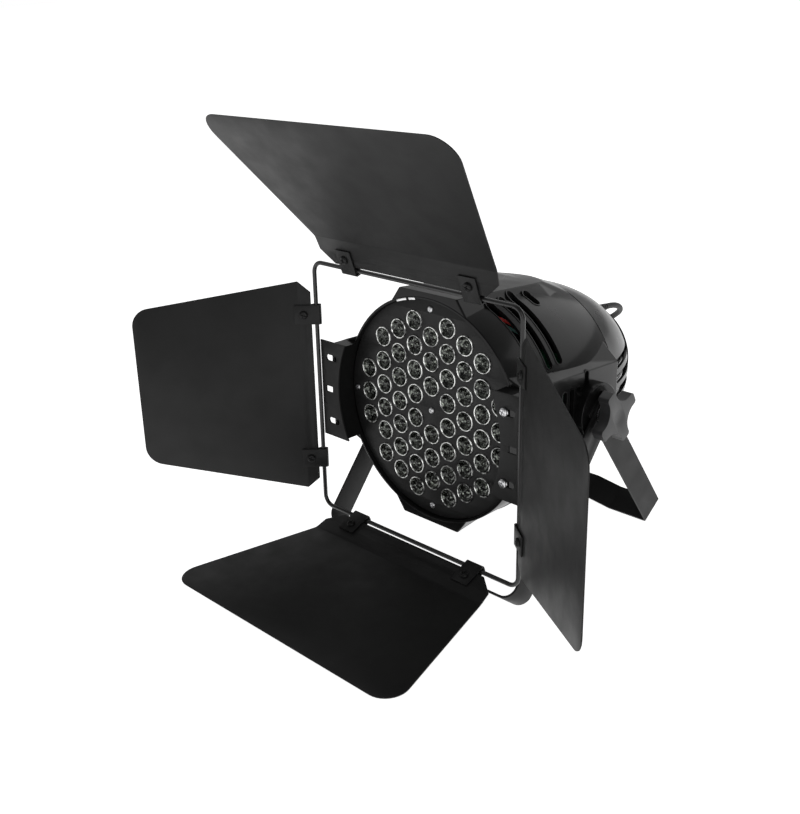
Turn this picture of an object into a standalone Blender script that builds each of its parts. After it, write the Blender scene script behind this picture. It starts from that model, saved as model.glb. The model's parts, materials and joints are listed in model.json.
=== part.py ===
"""LED par can with a four-leaf barn door, standing on its two yokes.

Everything on the lamp head is laid out in the head frame: the origin is the middle of the
LED cover plate, +Y runs back along the optical axis, +X to the right seen from the front,
and +Z up.  The head frame is an empty, tilted so that both yokes' feet meet the floor.
Lengths are in metres.
"""

import math

import bmesh
import bpy
from mathutils import Matrix, Vector

MM = 0.001
GAP = 0.3 * MM                      # clearance between pieces that touch

# LED face
LED_PITCH = 22.5 * MM               # hexagonal lattice
LENS_RADIUS = 9.2 * MM
LENS_HOLE_RADIUS = 9.6 * MM
COVER_RADIUS = 100.3 * MM
COVER_THICKNESS = 2 * MM

# housing, turned about the optical axis
BODY_RADIUS = 103 * MM
BODY_FRONT = -4.5 * MM
BODY_WALL = 2.5 * MM
MOUTH_RADIUS = 100.8 * MM
TAPER_START = 30 * MM               # the drum is straight as far as this
TAPER_END = 246 * MM                # where the tapering curve would close
TAPER_POWER = 2.2
SEAM = 146 * MM                     # rear edge of the housing shell
REAR_FACE = 232 * MM
REAR_FACE_RADIUS = 46 * MM
LOBE_FRONT = 107.8 * MM             # how far the lobes stand out at the front

# pivot, yokes and knobs
PIVOT_Y = 94.4 * MM
BOSS_RADIUS = 25.7 * MM
BOSS_END = 111.0 * MM
STUD_RADIUS = 4 * MM
YOKE_SHEET = 2 * MM
FRONT_YOKE = {"outer_x": 115.6 * MM, "reach": 181.4 * MM, "width": 25.4 * MM,
              "lean": math.radians(38.6), "bend": 13 * MM, "joggle": 0.0,
              "side_holes": (-38 * MM, 38 * MM)}
REAR_YOKE = {"outer_x": 113.3 * MM, "reach": 160.0 * MM, "width": 25.9 * MM,
             "lean": math.radians(-36.1), "bend": 4 * MM, "joggle": 8 * MM,
             "side_holes": ()}
YOKE_TOP = 13.9 * MM                # how far an arm runs past the pivot
BOLT_HOLE_RADIUS = 5.25 * MM        # M10 clamp bolt in each yoke's bar
KNOB_FACE = 131 * MM
KNOB_TIP = 26 * MM

# barn door
FRAME_SIDE = 240 * MM               # square wire frame, centre to centre
FRAME_Y = -25 * MM
ROD_RADIUS = 2 * MM
FRAME_CORNER = 10 * MM
PLATE_Y = (-22.7 * MM, -21.2 * MM)
PLATE_HALF_HEIGHT = 46.5 * MM
LUG_HALF_HEIGHT = 45 * MM
LUG_OUTER = 105.5 * MM
LUG_INNER_RADIUS = 99.5 * MM
PLATE_SCREW = (101 * MM, 31 * MM)
SHEET = 1.0 * MM
LEAF_START = 4.5 * MM               # gap from the rod's axis to the leaf's edge
CREASE = 29.5 * MM
CREASE_BEND = math.radians(20)
WIDE_LEAF = {"hinge_half": 87 * MM, "shoulder": (102 * MM, 17 * MM), "outer_half": 141.5 * MM,
             "length": 170.5 * MM, "corner": 19 * MM, "crease": True}
SIDE_LEAF = {"hinge_half": 92 * MM, "shoulder": (102 * MM, 16 * MM), "outer_half": 75 * MM,
             "length": 171.5 * MM, "corner": 18 * MM, "crease": False}
# how far each leaf leans out from the beam, measured at its hinge flange
LEAF_ANGLE = {"top": 70.9, "bottom": 23.3, "left": 47.6, "right": 53.5}
CLAMP_U = 71 * MM
CLAMP_WIDTH = 18 * MM
CLAMP_SHEET = 1.2 * MM
SCREW_V = 11.5 * MM

# rear panel
PANEL_Z = -6 * MM
PANEL_RADIUS = 36 * MM
PANEL_OPENING = 33 * MM
PANEL_Y = (227.2 * MM, 229.2 * MM)
BUTTON_RADIUS = 3.2 * MM
BUTTON_X = (-18 * MM, -6 * MM, 6 * MM, 18 * MM)
BUTTON_Z = -1 * MM
SOCKET_RADIUS = 10.5 * MM
BARREL_RADIUS = 9.2 * MM
SOCKET_DEPTH = 13 * MM
SOCKET_X = 13.5 * MM
SOCKET_Z = -20 * MM

# mains lead
CORD_RADIUS = 3 * MM
GLAND = (-3 * MM, 38 * MM)          # x, z of its exit
GLAND_END = 239.5 * MM
RELIEF_END = 263 * MM
COIL_CENTRE = (-125 * MM, 288 * MM)   # on the floor behind the lamp
COIL_RADII = (27 * MM, 45 * MM)
COIL_HEIGHT = 12 * MM
PLUG_START = (-183 * MM, 262 * MM)    # where the cord enters the plug
PLUG_HEIGHT = 10.3 * MM

COLLECTION = "par_can_light"

FINISHES = {
    "black_gloss": ((0.012, 0.012, 0.013, 1), 0.28, 0.0),
    "black_satin": ((0.018, 0.018, 0.019, 1), 0.45, 0.0),
    "black_powder": ((0.02, 0.021, 0.021, 1), 0.6, 0.0),
    "black_rubber": ((0.015, 0.015, 0.015, 1), 0.7, 0.0),
    "grey_plastic": ((0.05, 0.05, 0.052, 1), 0.5, 0.0),
    "steel": ((0.62, 0.62, 0.63, 1), 0.3, 1.0),
    "aluminium": ((0.5, 0.51, 0.52, 1), 0.4, 1.0),
    "lens": ((0.85, 0.88, 0.9, 1), 0.05, 0.0),
    "board": ((0.75, 0.76, 0.74, 1), 0.5, 0.0),
    "green_board": ((0.02, 0.16, 0.07, 1), 0.5, 0.0),
    "red_wire": ((0.45, 0.02, 0.02, 1), 0.45, 0.0),
    "green_wire": ((0.02, 0.25, 0.12, 1), 0.45, 0.0),
    "display": ((0.10, 0.01, 0.01, 1), 0.1, 0.0),
}


# ---------------------------------------------------------------- scene and object helpers

def clear_scene():
    for obj in list(bpy.context.scene.objects):
        bpy.data.objects.remove(obj, do_unlink=True)


def parts_collection():
    collection = bpy.data.collections.new(COLLECTION)
    bpy.context.scene.collection.children.link(collection)
    return collection


def add_object(name, data, parent=None, matrix=None):
    obj = bpy.data.objects.new(name, data)
    PARTS.objects.link(obj)
    obj.parent = parent
    if matrix is not None:
        obj.matrix_local = matrix
    return obj


def add_empty(name, parent, matrix):
    empty = add_object(name, None, parent, matrix)
    empty.empty_display_size = 0.02
    return empty


def give_finish(obj, finish):
    colour, roughness, metallic = FINISHES[finish]
    mat = bpy.data.materials.new(f"{obj.name}_{finish}")
    mat.use_nodes = True
    shader = mat.node_tree.nodes["Principled BSDF"]
    shader.inputs["Base Color"].default_value = colour
    shader.inputs["Roughness"].default_value = roughness
    shader.inputs["Metallic"].default_value = metallic
    obj.data.materials.clear()
    obj.data.materials.append(mat)


def finish_part(obj, name, finish, parent, smooth_angle=35):
    """Names a finished solid, gives it its material and hangs it on its parent."""
    obj.name = name
    obj.data.name = name
    obj.parent = parent
    give_finish(obj, finish)
    obj.data.shade_smooth()
    obj.data.set_sharp_from_angle(angle=math.radians(smooth_angle))
    return obj


def baked(obj):
    """Turns an object and its modifiers into a plain mesh object in its parent's space."""
    depsgraph = bpy.context.evaluated_depsgraph_get()
    mesh = bpy.data.meshes.new_from_object(obj.evaluated_get(depsgraph))
    mesh.transform(obj.matrix_local)
    clean = bmesh.new()
    clean.from_mesh(mesh)
    bmesh.ops.remove_doubles(clean, verts=clean.verts, dist=1e-6)
    clean.to_mesh(mesh)
    clean.free()
    result = add_object(obj.name + "_solid", mesh)
    bpy.data.objects.remove(obj, do_unlink=True)
    return result


def boolean(target, tool, operation):
    modifier = target.modifiers.new("cut", "BOOLEAN")
    modifier.operation = operation
    modifier.object = tool
    bpy.context.view_layer.update()
    result = baked(target)
    bpy.data.objects.remove(tool, do_unlink=True)
    return result


def cut(target, *tools):
    for tool in tools:
        target = boolean(target, tool, "DIFFERENCE")
    return target


def join(target, *others):
    for other in others:
        target = boolean(target, other, "UNION")
    return target


# ---------------------------------------------------------------- shape helpers

def from_bmesh(name, shape):
    mesh = bpy.data.meshes.new(name)
    shape.to_mesh(mesh)
    shape.free()
    return add_object(name, mesh)


def box(low, high, name="box"):
    low, high = Vector(low), Vector(high)
    size = high - low
    shape = bmesh.new()
    bmesh.ops.create_cube(shape, size=1, matrix=Matrix.Translation((low + high) / 2)
                          @ Matrix.Diagonal((size.x, size.y, size.z, 1)))
    return from_bmesh(name, shape)


def rod(start, end, radius, sides=16, end_radius=None, name="rod"):
    """A cylinder or cone from start to end."""
    start, end = Vector(start), Vector(end)
    along = end - start
    turn = along.to_track_quat("Z", "X").to_matrix().to_4x4()
    shape = bmesh.new()
    bmesh.ops.create_cone(shape, cap_ends=True, segments=sides, radius1=radius,
                          radius2=radius if end_radius is None else end_radius,
                          depth=along.length,
                          matrix=Matrix.Translation((start + end) / 2) @ turn)
    return from_bmesh(name, shape)


AXIS_TO_Y = Matrix.Rotation(math.radians(-90), 4, "X")      # local +Z becomes +Y


def turned(profile, steps=48, angle=360, start=0, name="turned"):
    """Turns (radius, y) points about the optical axis.

    The points run along the outside from the rear to the front, and back inside.
    A part turn starts at an angle from +X, counted towards +Z.
    """
    shape = bmesh.new()
    verts = [shape.verts.new((radius, 0, y)) for radius, y in profile]
    closed = abs(profile[0][0]) > 1e-9
    for i in range(len(verts) - (0 if closed else 1)):
        shape.edges.new((verts[i], verts[(i + 1) % len(verts)]))
    obj = from_bmesh(name, shape)
    screw = obj.modifiers.new("turn", "SCREW")
    screw.angle = math.radians(angle)
    screw.steps = screw.render_steps = steps
    screw.use_merge_vertices = True
    screw.merge_threshold = 1e-6
    # local -Y becomes +Z, so the start angle turns the other way about local Z
    obj.matrix_local = AXIS_TO_Y @ Matrix.Rotation(math.radians(-start), 4, "Z")
    bpy.context.view_layer.update()
    return baked(obj)


def sheet_prism(outline, half_thickness, holes=(), name="prism"):
    """A flat outline in local XY, thickened both ways along Z, as a closed mesh."""
    curve = bpy.data.curves.new(name, "CURVE")
    curve.dimensions = "2D"
    curve.fill_mode = "BOTH"
    curve.extrude = half_thickness
    for points in (outline, *holes):
        spline = curve.splines.new("POLY")
        spline.points.add(len(points) - 1)
        for point, (x, y) in zip(spline.points, points):
            point.co = (x, y, 0, 1)
        spline.use_cyclic_u = True
    obj = add_object(name, curve)
    bpy.context.view_layer.update()
    return baked(obj)


def placed(obj, matrix):
    """Moves a plain mesh object's vertices."""
    obj.data.transform(matrix)
    return obj


def circle(radius, sides, centre=(0, 0)):
    return [(centre[0] + radius * math.cos(2 * math.pi * i / sides),
             centre[1] + radius * math.sin(2 * math.pi * i / sides)) for i in range(sides)]


def arc(centre, radius, start, end, steps):
    """Points on an arc; angles in degrees."""
    angles = [math.radians(start + (end - start) * i / steps) for i in range(steps + 1)]
    return [(centre[0] + radius * math.cos(a), centre[1] + radius * math.sin(a)) for a in angles]


def polar(radius, angle):
    return (radius * math.cos(math.radians(angle)), radius * math.sin(math.radians(angle)))


def heading(start, end):
    """The direction from one point to another, in degrees."""
    return math.degrees(math.atan2(end[1] - start[1], end[0] - start[0]))


def rounded(corners, radii, steps=5):
    """Rounds the corners of a closed outline with arcs; a radius of 0 keeps the corner."""
    result = []
    count = len(corners)
    for i, (corner, radius) in enumerate(zip(corners, radii)):
        here = Vector(corner)
        to_last = (Vector(corners[i - 1]) - here).normalized()
        to_next = (Vector(corners[(i + 1) % count]) - here).normalized()
        if radius == 0:
            result.append(tuple(here))
            continue
        half = to_last.angle(to_next) / 2
        centre = here + (to_last + to_next).normalized() * (radius / math.sin(half))
        first = here + to_last * (radius / math.tan(half)) - centre
        last = here + to_next * (radius / math.tan(half)) - centre
        sweep = math.atan2(first.x * last.y - first.y * last.x, first.dot(last))
        for k in range(steps + 1):
            a = sweep * k / steps
            turned_arm = Vector((first.x * math.cos(a) - first.y * math.sin(a),
                                 first.x * math.sin(a) + first.y * math.cos(a)))
            result.append(tuple(centre + turned_arm))
    return result


def ribbon(path, half_width):
    """The outline of a strip of even width that follows an open path in a plane."""
    points = [Vector(p) for p in path]
    left, right = [], []
    for i, here in enumerate(points):
        before = (here - points[i - 1]).normalized() if i else None
        after = (points[i + 1] - here).normalized() if i + 1 < len(points) else None
        before, after = before or after, after or before
        along = (before + after).normalized()
        side = Vector((-along.y, along.x)) * (half_width / max(0.2, along.dot(after)))
        left.append(tuple(here + side))
        right.append(tuple(here - side))
    return left + right[::-1]


def smooth_route(points, spacing):
    """Evenly spaced points on a Catmull-Rom curve through the given points."""
    ghost = [Vector(p) for p in points]
    ghost = [2 * ghost[0] - ghost[1], *ghost, 2 * ghost[-1] - ghost[-2]]
    fine = []
    for a, b, c, d in zip(ghost, ghost[1:], ghost[2:], ghost[3:]):
        for k in range(40):
            t = k / 40
            fine.append(0.5 * (2 * b + (c - a) * t + (2 * a - 5 * b + 4 * c - d) * t ** 2
                               + (3 * b - a - 3 * c + d) * t ** 3))
    fine.append(Vector(points[-1]))
    travelled = [0.0]
    for a, b in zip(fine, fine[1:]):
        travelled.append(travelled[-1] + (b - a).length)
    count = max(2, round(travelled[-1] / spacing))
    result = []
    k = 0
    for i in range(count + 1):
        target = travelled[-1] * i / count
        while k < len(fine) - 2 and travelled[k + 1] < target:
            k += 1
        step = travelled[k + 1] - travelled[k]
        result.append(fine[k].lerp(fine[k + 1], (target - travelled[k]) / step))
    return result


def tube(name, points, radius, finish, parent, resolution=2, cyclic=False):
    """A round wire, rail or cord as a curve with a bevel."""
    curve = bpy.data.curves.new(name, "CURVE")
    curve.dimensions = "3D"
    curve.bevel_depth = radius
    curve.bevel_resolution = resolution
    curve.use_fill_caps = not cyclic
    spline = curve.splines.new("POLY")
    spline.points.add(len(points) - 1)
    for point, place in zip(spline.points, points):
        point.co = (*place, 1)
    spline.use_cyclic_u = cyclic
    obj = add_object(name, curve, parent)
    give_finish(obj, finish)
    return obj


# ---------------------------------------------------------------- housing

def body_radius(y):
    """Outer radius of the housing at a distance behind the LED plate."""
    t = max(0.0, (y - TAPER_START) / (TAPER_END - TAPER_START))
    return BODY_RADIUS * (1 - t ** TAPER_POWER) ** (1 / TAPER_POWER)


def lobe(sections, angle, name="lobe"):
    """A loft of trapezoids (y, half width, height, base half width, base height).

    Angle 0 is the top lobe; the angle turns it about the optical axis towards +X.
    """
    shape = bmesh.new()
    rings = []
    for y, half, top, base_half, base in sections:
        corners = ((-base_half, base), (-half, top), (half, top), (base_half, base))
        rings.append([shape.verts.new((w, y, r)) for w, r in corners])
    for a, b in zip(rings, rings[1:]):
        for i in range(4):
            j = (i + 1) % 4
            shape.faces.new((a[i], a[j], b[j], b[i]))
    shape.faces.new(rings[0][::-1])
    shape.faces.new(rings[-1])
    bmesh.ops.triangulate(shape, faces=shape.faces)
    bmesh.ops.recalc_face_normals(shape, faces=shape.faces)
    return placed(from_bmesh(name, shape), Matrix.Rotation(math.radians(angle), 4, "Y"))


def lobe_sections(kind, inset):
    """Sections of the top and bottom lobes, or of the side lobes, drawn in by an inset."""
    front = BODY_FRONT + (BODY_WALL + 1 * MM if inset else 0.3 * MM)
    if kind == "top":
        rows = [(front, 33.5, 107.0, 50.0, 84.7), (110 * MM, 29.0, 98.4, 52.0, 80.3),
                (SEAM - 0.4 * MM, 26.4, 95.2, 43.4, 75.6)]
    else:
        rows = [(front, 44.4, 107.8, 56.7, 76), (142 * MM, 31.6, 95.8, 59.0, 64)]
    result = []
    for i, (y, half, top, base_half, base) in enumerate(rows):
        rear = i == len(rows) - 1
        result.append((y - (inset if rear and kind != "top" else 0),
                       half * MM - inset, top * MM - inset, base_half * MM - inset,
                       base * MM - inset))
    return result


def lobe_cone(inset):
    """The cone that the top and bottom lobes run out on, down to the seam."""
    wide, narrow = 118 * MM - inset, 90.8 * MM - inset
    return turned([(0, SEAM), (narrow, SEAM), (wide, 75.5 * MM), (wide, -12 * MM),
                   (0, -12 * MM)], steps=48, name="lobe_cone")


def body_form(inset, front, rear):
    """The housing's turned body with its four lobes, drawn in by an inset."""
    stops = (rear, 100 * MM, front) if inset else (rear, 120 * MM, 88 * MM, 48 * MM, front)
    outline = [(0, rear)]
    outline += [(body_radius(y) - inset, y) for y in stops]
    outline += [(0, front)]
    form = turned(outline, steps=48, name="body")
    for angle in (0, 180):
        form = join(form, boolean(lobe(lobe_sections("top", inset), angle),
                                  lobe_cone(inset), "INTERSECT"))
    for angle in (90, 270):
        form = join(form, lobe(lobe_sections("side", inset), angle))
    return form


def arc_slot(y_low, y_high, start, end, name="slot"):
    """Cutter for a vent slot that runs round the body."""
    inner, outer = 84 * MM, 112 * MM
    profile = [(outer, y_high), (outer, y_low), (inner, y_low), (inner, y_high)]
    shape = bmesh.new()
    rings = []
    for angle in (start, end):
        a = math.radians(angle)
        rings.append([shape.verts.new((r * math.cos(a), y, r * math.sin(a)))
                      for r, y in profile])
    for a, b in zip(rings, rings[1:]):
        for i in range(4):
            j = (i + 1) % 4
            shape.faces.new((a[i], a[j], b[j], b[i]))
    shape.faces.new(rings[0][::-1])
    shape.faces.new(rings[-1])
    bmesh.ops.recalc_face_normals(shape, faces=shape.faces)
    return from_bmesh(name, shape)


def vent_slots():
    """Three long slots and a short one between each pair of lobes."""
    rows = [(27, 35.5, 29, 70), (44.5, 52, 27, 70), (59, 67, 27.5, 72), (79, 87.5, 60, 70.5)]
    cutters = []
    for y_low, y_high, start, end in rows:
        for low, high in ((start, end), (180 - end, 180 - start),
                          (180 + start, 180 + end), (360 - end, 360 - start)):
            cutters.append(arc_slot(y_low * MM, y_high * MM, low, high))
    return cutters


def side_vents():
    """Upright slots in the side lobes; the pivot boss covers part of the rear ones."""
    cutters = []
    for side in (-1, 1):
        for y_low, y_high, z_low, z_high in ((51, 56, -27, 27), (62, 67, -27, 27),
                                             (73, 78, -26, 26), (85, 90, 20, 37),
                                             (85, 90, -37, -20)):
            low_x, high_x = sorted((side * 94 * MM, side * 114 * MM))
            cutters.append(box((low_x, y_low * MM, z_low * MM),
                               (high_x, y_high * MM, z_high * MM)))
    return cutters


def side_lug(side):
    """Pad in front of the rim that carries one side plate of the barn door."""
    half_angle = math.degrees(math.asin(LUG_HALF_HEIGHT / LUG_INNER_RADIUS))
    inner = arc((0, 0), LUG_INNER_RADIUS, half_angle, -half_angle, 7)
    outline = inner + [(LUG_OUTER, -LUG_HALF_HEIGHT), (LUG_OUTER, LUG_HALF_HEIGHT)]
    lug_front = PLATE_Y[1] + GAP
    lug_rear = BODY_FRONT + 1.5 * MM
    lug = sheet_prism(outline, (lug_rear - lug_front) / 2)
    # the outline's plane is the head's XZ plane
    placed(lug, Matrix.Translation((0, (lug_front + lug_rear) / 2, 0))
           @ Matrix.Rotation(math.radians(90), 4, "X"))
    if side < 0:
        placed(lug, Matrix.Rotation(math.pi, 4, "Y"))
    return lug


def make_housing(head):
    outer = cut(body_form(0, BODY_FRONT, SEAM), *side_vents())
    for side in (-1, 1):
        outer = join(outer, rod((side * 90 * MM, PIVOT_Y, 0), (side * BOSS_END, PIVOT_Y, 0),
                                BOSS_RADIUS, 24), side_lug(side))
    inner = body_form(BODY_WALL, BODY_FRONT + 6 * MM, SEAM + 4 * MM)
    shell = cut(outer, inner)
    shell = cut(shell, rod((0, BODY_FRONT - 1 * MM, 0), (0, 10 * MM, 0), MOUTH_RADIUS, 48))
    shell = cut(shell, *vent_slots())
    for side in (-1, 1):
        shell = cut(shell, rod((side * 80 * MM, PIVOT_Y, 0), (side * 120 * MM, PIVOT_Y, 0),
                               STUD_RADIUS + GAP, 12))
        for z in (-PLATE_SCREW[1], PLATE_SCREW[1]):
            shell = cut(shell, rod((side * PLATE_SCREW[0], -30 * MM, z),
                                   (side * PLATE_SCREW[0], -9 * MM, z), 2.3 * MM, 8))
    return finish_part(shell, "housing_shell", "black_gloss", head, 30)


def make_rear_cap(head):
    start = SEAM + GAP
    outside = [(REAR_FACE_RADIUS, REAR_FACE), (50.5 * MM, 228.5 * MM)]
    outside += [(body_radius(y), y) for y in (218 * MM, 200 * MM, 178 * MM, start)]
    inside = [(body_radius(y) - BODY_WALL, y) for y in (start, 184 * MM, 214 * MM)]
    inside.append((REAR_FACE_RADIUS - BODY_WALL, REAR_FACE - BODY_WALL))
    profile = [(0, REAR_FACE), *outside, *inside, (0, REAR_FACE - BODY_WALL)]
    cap = turned(profile, steps=48, name="rear_cap")
    cap = cut(cap, rod((0, 220 * MM, PANEL_Z), (0, 240 * MM, PANEL_Z), PANEL_OPENING, 32))
    for side in (-1, 1):
        for k in range(4):
            z = (21 - 13 * k) * MM
            cap = cut(cap, box((min(side * 30, side * 100) * MM, 154 * MM, z - 4 * MM),
                               (max(side * 30, side * 100) * MM, 214 * MM, z + 4 * MM)))
    return finish_part(cap, "rear_cap", "black_gloss", head, 30)


# ---------------------------------------------------------------- LED face and insides

def led_places():
    """Hexagonal lattice of lenses without its centre and its six corners."""
    places = []
    for column in range(-4, 5):
        x = column * LED_PITCH * math.sqrt(3) / 2
        rows = 9 - abs(column)
        for row in range(rows):
            z = (row - (rows - 1) / 2) * LED_PITCH
            distance = math.hypot(x, z)
            if distance > 0.5 * LED_PITCH and distance < 3.9 * LED_PITCH:
                places.append((x, z))
    return places


def facing_front(obj, y):
    """Stands a flat piece made in local XY up in the head's XZ plane at a depth."""
    return placed(obj, Matrix.Translation((0, y, 0)) @ Matrix.Rotation(math.radians(90), 4, "X"))


def make_led_face(head):
    places = led_places()
    # a piece turned up from XY to XZ keeps x and takes z from y
    holes = [circle(LENS_HOLE_RADIUS, 8, p) for p in places]
    holes.append(circle(2 * MM, 6))
    cover = sheet_prism(circle(COVER_RADIUS, 48), COVER_THICKNESS / 2, holes)
    facing_front(cover, COVER_THICKNESS / 2)
    finish_part(cover, "led_cover_plate", "black_satin", head)

    carrier = sheet_prism(circle(98 * MM, 32), 1 * MM)
    facing_front(carrier, 3.4 * MM)
    shape = bmesh.new()
    for x, z in places:
        bmesh.ops.create_cone(shape, cap_ends=True, segments=8, radius1=LENS_RADIUS,
                              radius2=LENS_RADIUS, depth=4 * MM,
                              matrix=Matrix.Translation((x, 1 * MM, z))
                              @ Matrix.Rotation(math.radians(90), 4, "X"))
    lenses = from_bmesh("lenses", shape)
    finish_part(join(carrier, lenses), "lens_array", "lens", head)

    board = rod((0, 7 * MM, 0), (0, 8.6 * MM, 0), 97 * MM, 32)
    finish_part(board, "led_board", "board", head)


def make_heat_sink(head):
    sink = rod((0, 9 * MM, 0), (0, 13 * MM, 0), 84 * MM, 32)
    for k in range(-5, 6):
        x = k * 13 * MM
        half = math.sqrt((80 * MM) ** 2 - x ** 2)
        sink = join(sink, box((x - 1 * MM, 12 * MM, -half), (x + 1 * MM, 42 * MM, half)))
    finish_part(sink, "heat_sink", "aluminium", head)


def make_fan(head):
    low, high = 46 * MM, 62 * MM
    frame = box((-40 * MM, low, -40 * MM), (40 * MM, high, 40 * MM))
    frame = cut(frame, rod((0, low - 1 * MM, 0), (0, high - 3 * MM, 0), 37.5 * MM, 24),
                rod((0, high - 5 * MM, 0), (0, high + 1 * MM, 0), 36 * MM, 24))
    for angle in (45, 135):
        spoke = box((-38 * MM, high - 2.5 * MM, -2 * MM), (38 * MM, high, 2 * MM))
        placed(spoke, Matrix.Rotation(math.radians(angle), 4, "Y"))
        frame = join(frame, spoke)
    frame = join(frame, rod((0, high - 3 * MM, 0), (0, high, 0), 13 * MM, 16))
    finish_part(frame, "fan_frame", "black_satin", head)

    axle = add_empty("fan_axle", head, Matrix.Translation((0, (low + high) / 2, 0)))
    rotor = rod((0, -7 * MM, 0), (0, 4 * MM, 0), 14 * MM, 16)
    for k in range(7):
        blade = box((-1 * MM, -5.5 * MM, 12 * MM), (1 * MM, 5.5 * MM, 35 * MM))
        placed(blade, Matrix.Rotation(2 * math.pi * k / 7, 4, "Y")
               @ Matrix.Rotation(math.radians(38), 4, "Z")
               @ Matrix.Translation((0, -1.5 * MM, 0)))
        rotor = join(rotor, blade)
    finish_part(rotor, "fan_rotor", "black_satin", axle)


def make_power_supply(head):
    supply = box((-68 * MM, 100 * MM, -40 * MM), (68 * MM, 101.6 * MM, 40 * MM))
    blocks = [((-60, 80, -34), (-30, 100.5, -2)), ((-22, 74, -30), (12, 100.5, 6)),
              ((22, 84, -34), (60, 100.5, -20)), ((24, 88, 8), (58, 100.5, 30)),
              ((-58, 90, 10), (-24, 100.5, 32))]
    for low, high in blocks:
        supply = join(supply, box([v * MM for v in low], [v * MM for v in high]))
    finish_part(supply, "power_supply", "green_board", head)


def make_wires(head):
    red = [(38, 10.5, 79), (41, 18, 86), (42, 28, 88), (45, 37, 84), (50, 48, 77),
           (53, 62, 64), (52, 76, 45), (46, 86, 30)]
    green = [(46, 10.5, 76), (50, 18, 81), (51, 29, 82), (54, 39, 77), (58, 51, 69),
             (60, 63, 55), (58, 76, 36), (52, 86, 20)]
    for name, points, finish in (("wire_red", red, "red_wire"),
                                 ("wire_green", green, "green_wire")):
        route = smooth_route([Vector(p) * MM for p in points], 8 * MM)
        tube(name, route, 1.4 * MM, finish, head)


# ---------------------------------------------------------------- rear panel

def make_socket(name, x, face, female, head):
    """A round three-pin data socket: a flange on the panel and a barrel behind it."""
    floor = face - SOCKET_DEPTH
    socket = join(rod((x, face, SOCKET_Z), (x, face + 4 * MM, SOCKET_Z), SOCKET_RADIUS, 20),
                  rod((x, floor - 1.5 * MM, SOCKET_Z), (x, face + 1 * MM, SOCKET_Z),
                      BARREL_RADIUS, 20))
    mouth = face + 3.2 * MM if female else floor
    socket = cut(socket, rod((x, mouth, SOCKET_Z), (x, face + 6 * MM, SOCKET_Z), 7.6 * MM, 16))
    for k in range(3):
        a = math.radians(90 + 120 * k)
        px, pz = x + 4 * MM * math.cos(a), SOCKET_Z + 4 * MM * math.sin(a)
        if female:
            socket = cut(socket, rod((px, face - 8 * MM, pz), (px, face + 6 * MM, pz),
                                     1.4 * MM, 8))
        else:
            socket = join(socket, rod((px, floor - 0.8 * MM, pz), (px, face - 2 * MM, pz),
                                      1.1 * MM, 6))
    finish_part(socket, name, "black_satin", head)


def make_rear_panel(head):
    holes = [circle(BUTTON_RADIUS + 2 * GAP, 12, (x, BUTTON_Z - PANEL_Z)) for x in BUTTON_X]
    holes += [circle(BARREL_RADIUS + GAP, 20, (x, SOCKET_Z - PANEL_Z))
              for x in (-SOCKET_X, SOCKET_X)]
    panel = sheet_prism(circle(PANEL_RADIUS, 28), (PANEL_Y[1] - PANEL_Y[0]) / 2, holes)
    facing_front(panel, sum(PANEL_Y) / 2)
    placed(panel, Matrix.Translation((0, 0, PANEL_Z)))
    finish_part(panel, "control_panel", "black_satin", head)

    face = PANEL_Y[1] + GAP
    window = box((-16 * MM, face, 5.5 * MM), (16 * MM, face + 1.6 * MM, 18.5 * MM))
    finish_part(window, "display_window", "display", head)

    make_socket("dmx_in_socket", -SOCKET_X, face, False, head)
    make_socket("dmx_out_socket", SOCKET_X, face, True, head)

    for k, x in enumerate(BUTTON_X):
        guide = add_empty(f"button_{k + 1}_guide", head, Matrix.Translation((x, face, BUTTON_Z)))
        button = join(rod((0, -6.5 * MM, 0), (0, 2.2 * MM, 0), BUTTON_RADIUS, 12),
                      rod((0, -6.5 * MM, 0), (0, -4 * MM, 0), BUTTON_RADIUS + 1 * MM, 12))
        finish_part(button, f"button_{k + 1}", "grey_plastic", guide)


# ---------------------------------------------------------------- yokes and knobs

def yoke_place(yoke):
    """The yoke's frame: origin on the pivot axis, local -Z along the arms to the bar."""
    return Matrix.Translation((0, PIVOT_Y, 0)) @ Matrix.Rotation(-yoke["lean"], 4, "X")


def make_yoke(name, yoke, head):
    pivot = add_empty(name + "_pivot", head, yoke_place(yoke))
    half = YOKE_SHEET / 2
    x = yoke["outer_x"] - half
    z = -(yoke["reach"] - half)
    corner = yoke["bend"] - half
    path = [(-x, YOKE_TOP), (-x, z)]
    radii = [0, corner]
    if yoke["joggle"]:
        lift = yoke["joggle"]
        for px, pz in ((-70 * MM, z), (-46 * MM, z + lift), (46 * MM, z + lift), (70 * MM, z)):
            path.append((px, pz))
            radii.append(8 * MM)
    path += [(x, z), (x, YOKE_TOP)]
    radii += [corner, 0]
    centre_line = rounded(path, radii, 3)
    strip = sheet_prism(ribbon(centre_line, half), yoke["width"] / 2)
    placed(strip, Matrix.Rotation(math.radians(90), 4, "X"))
    strip = cut(strip, rod((-130 * MM, 0, 0), (130 * MM, 0, 0), STUD_RADIUS + 0.5 * MM, 12))
    strip = cut(strip, rod((0, 0, z - 20 * MM), (0, 0, z + 20 * MM), BOLT_HOLE_RADIUS, 12))
    for px in yoke["side_holes"]:
        strip = cut(strip, rod((px, 0, z - 20 * MM), (px, 0, z + 20 * MM), 3.2 * MM, 10))
    finish_part(strip, name, "black_powder", pivot)


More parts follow.
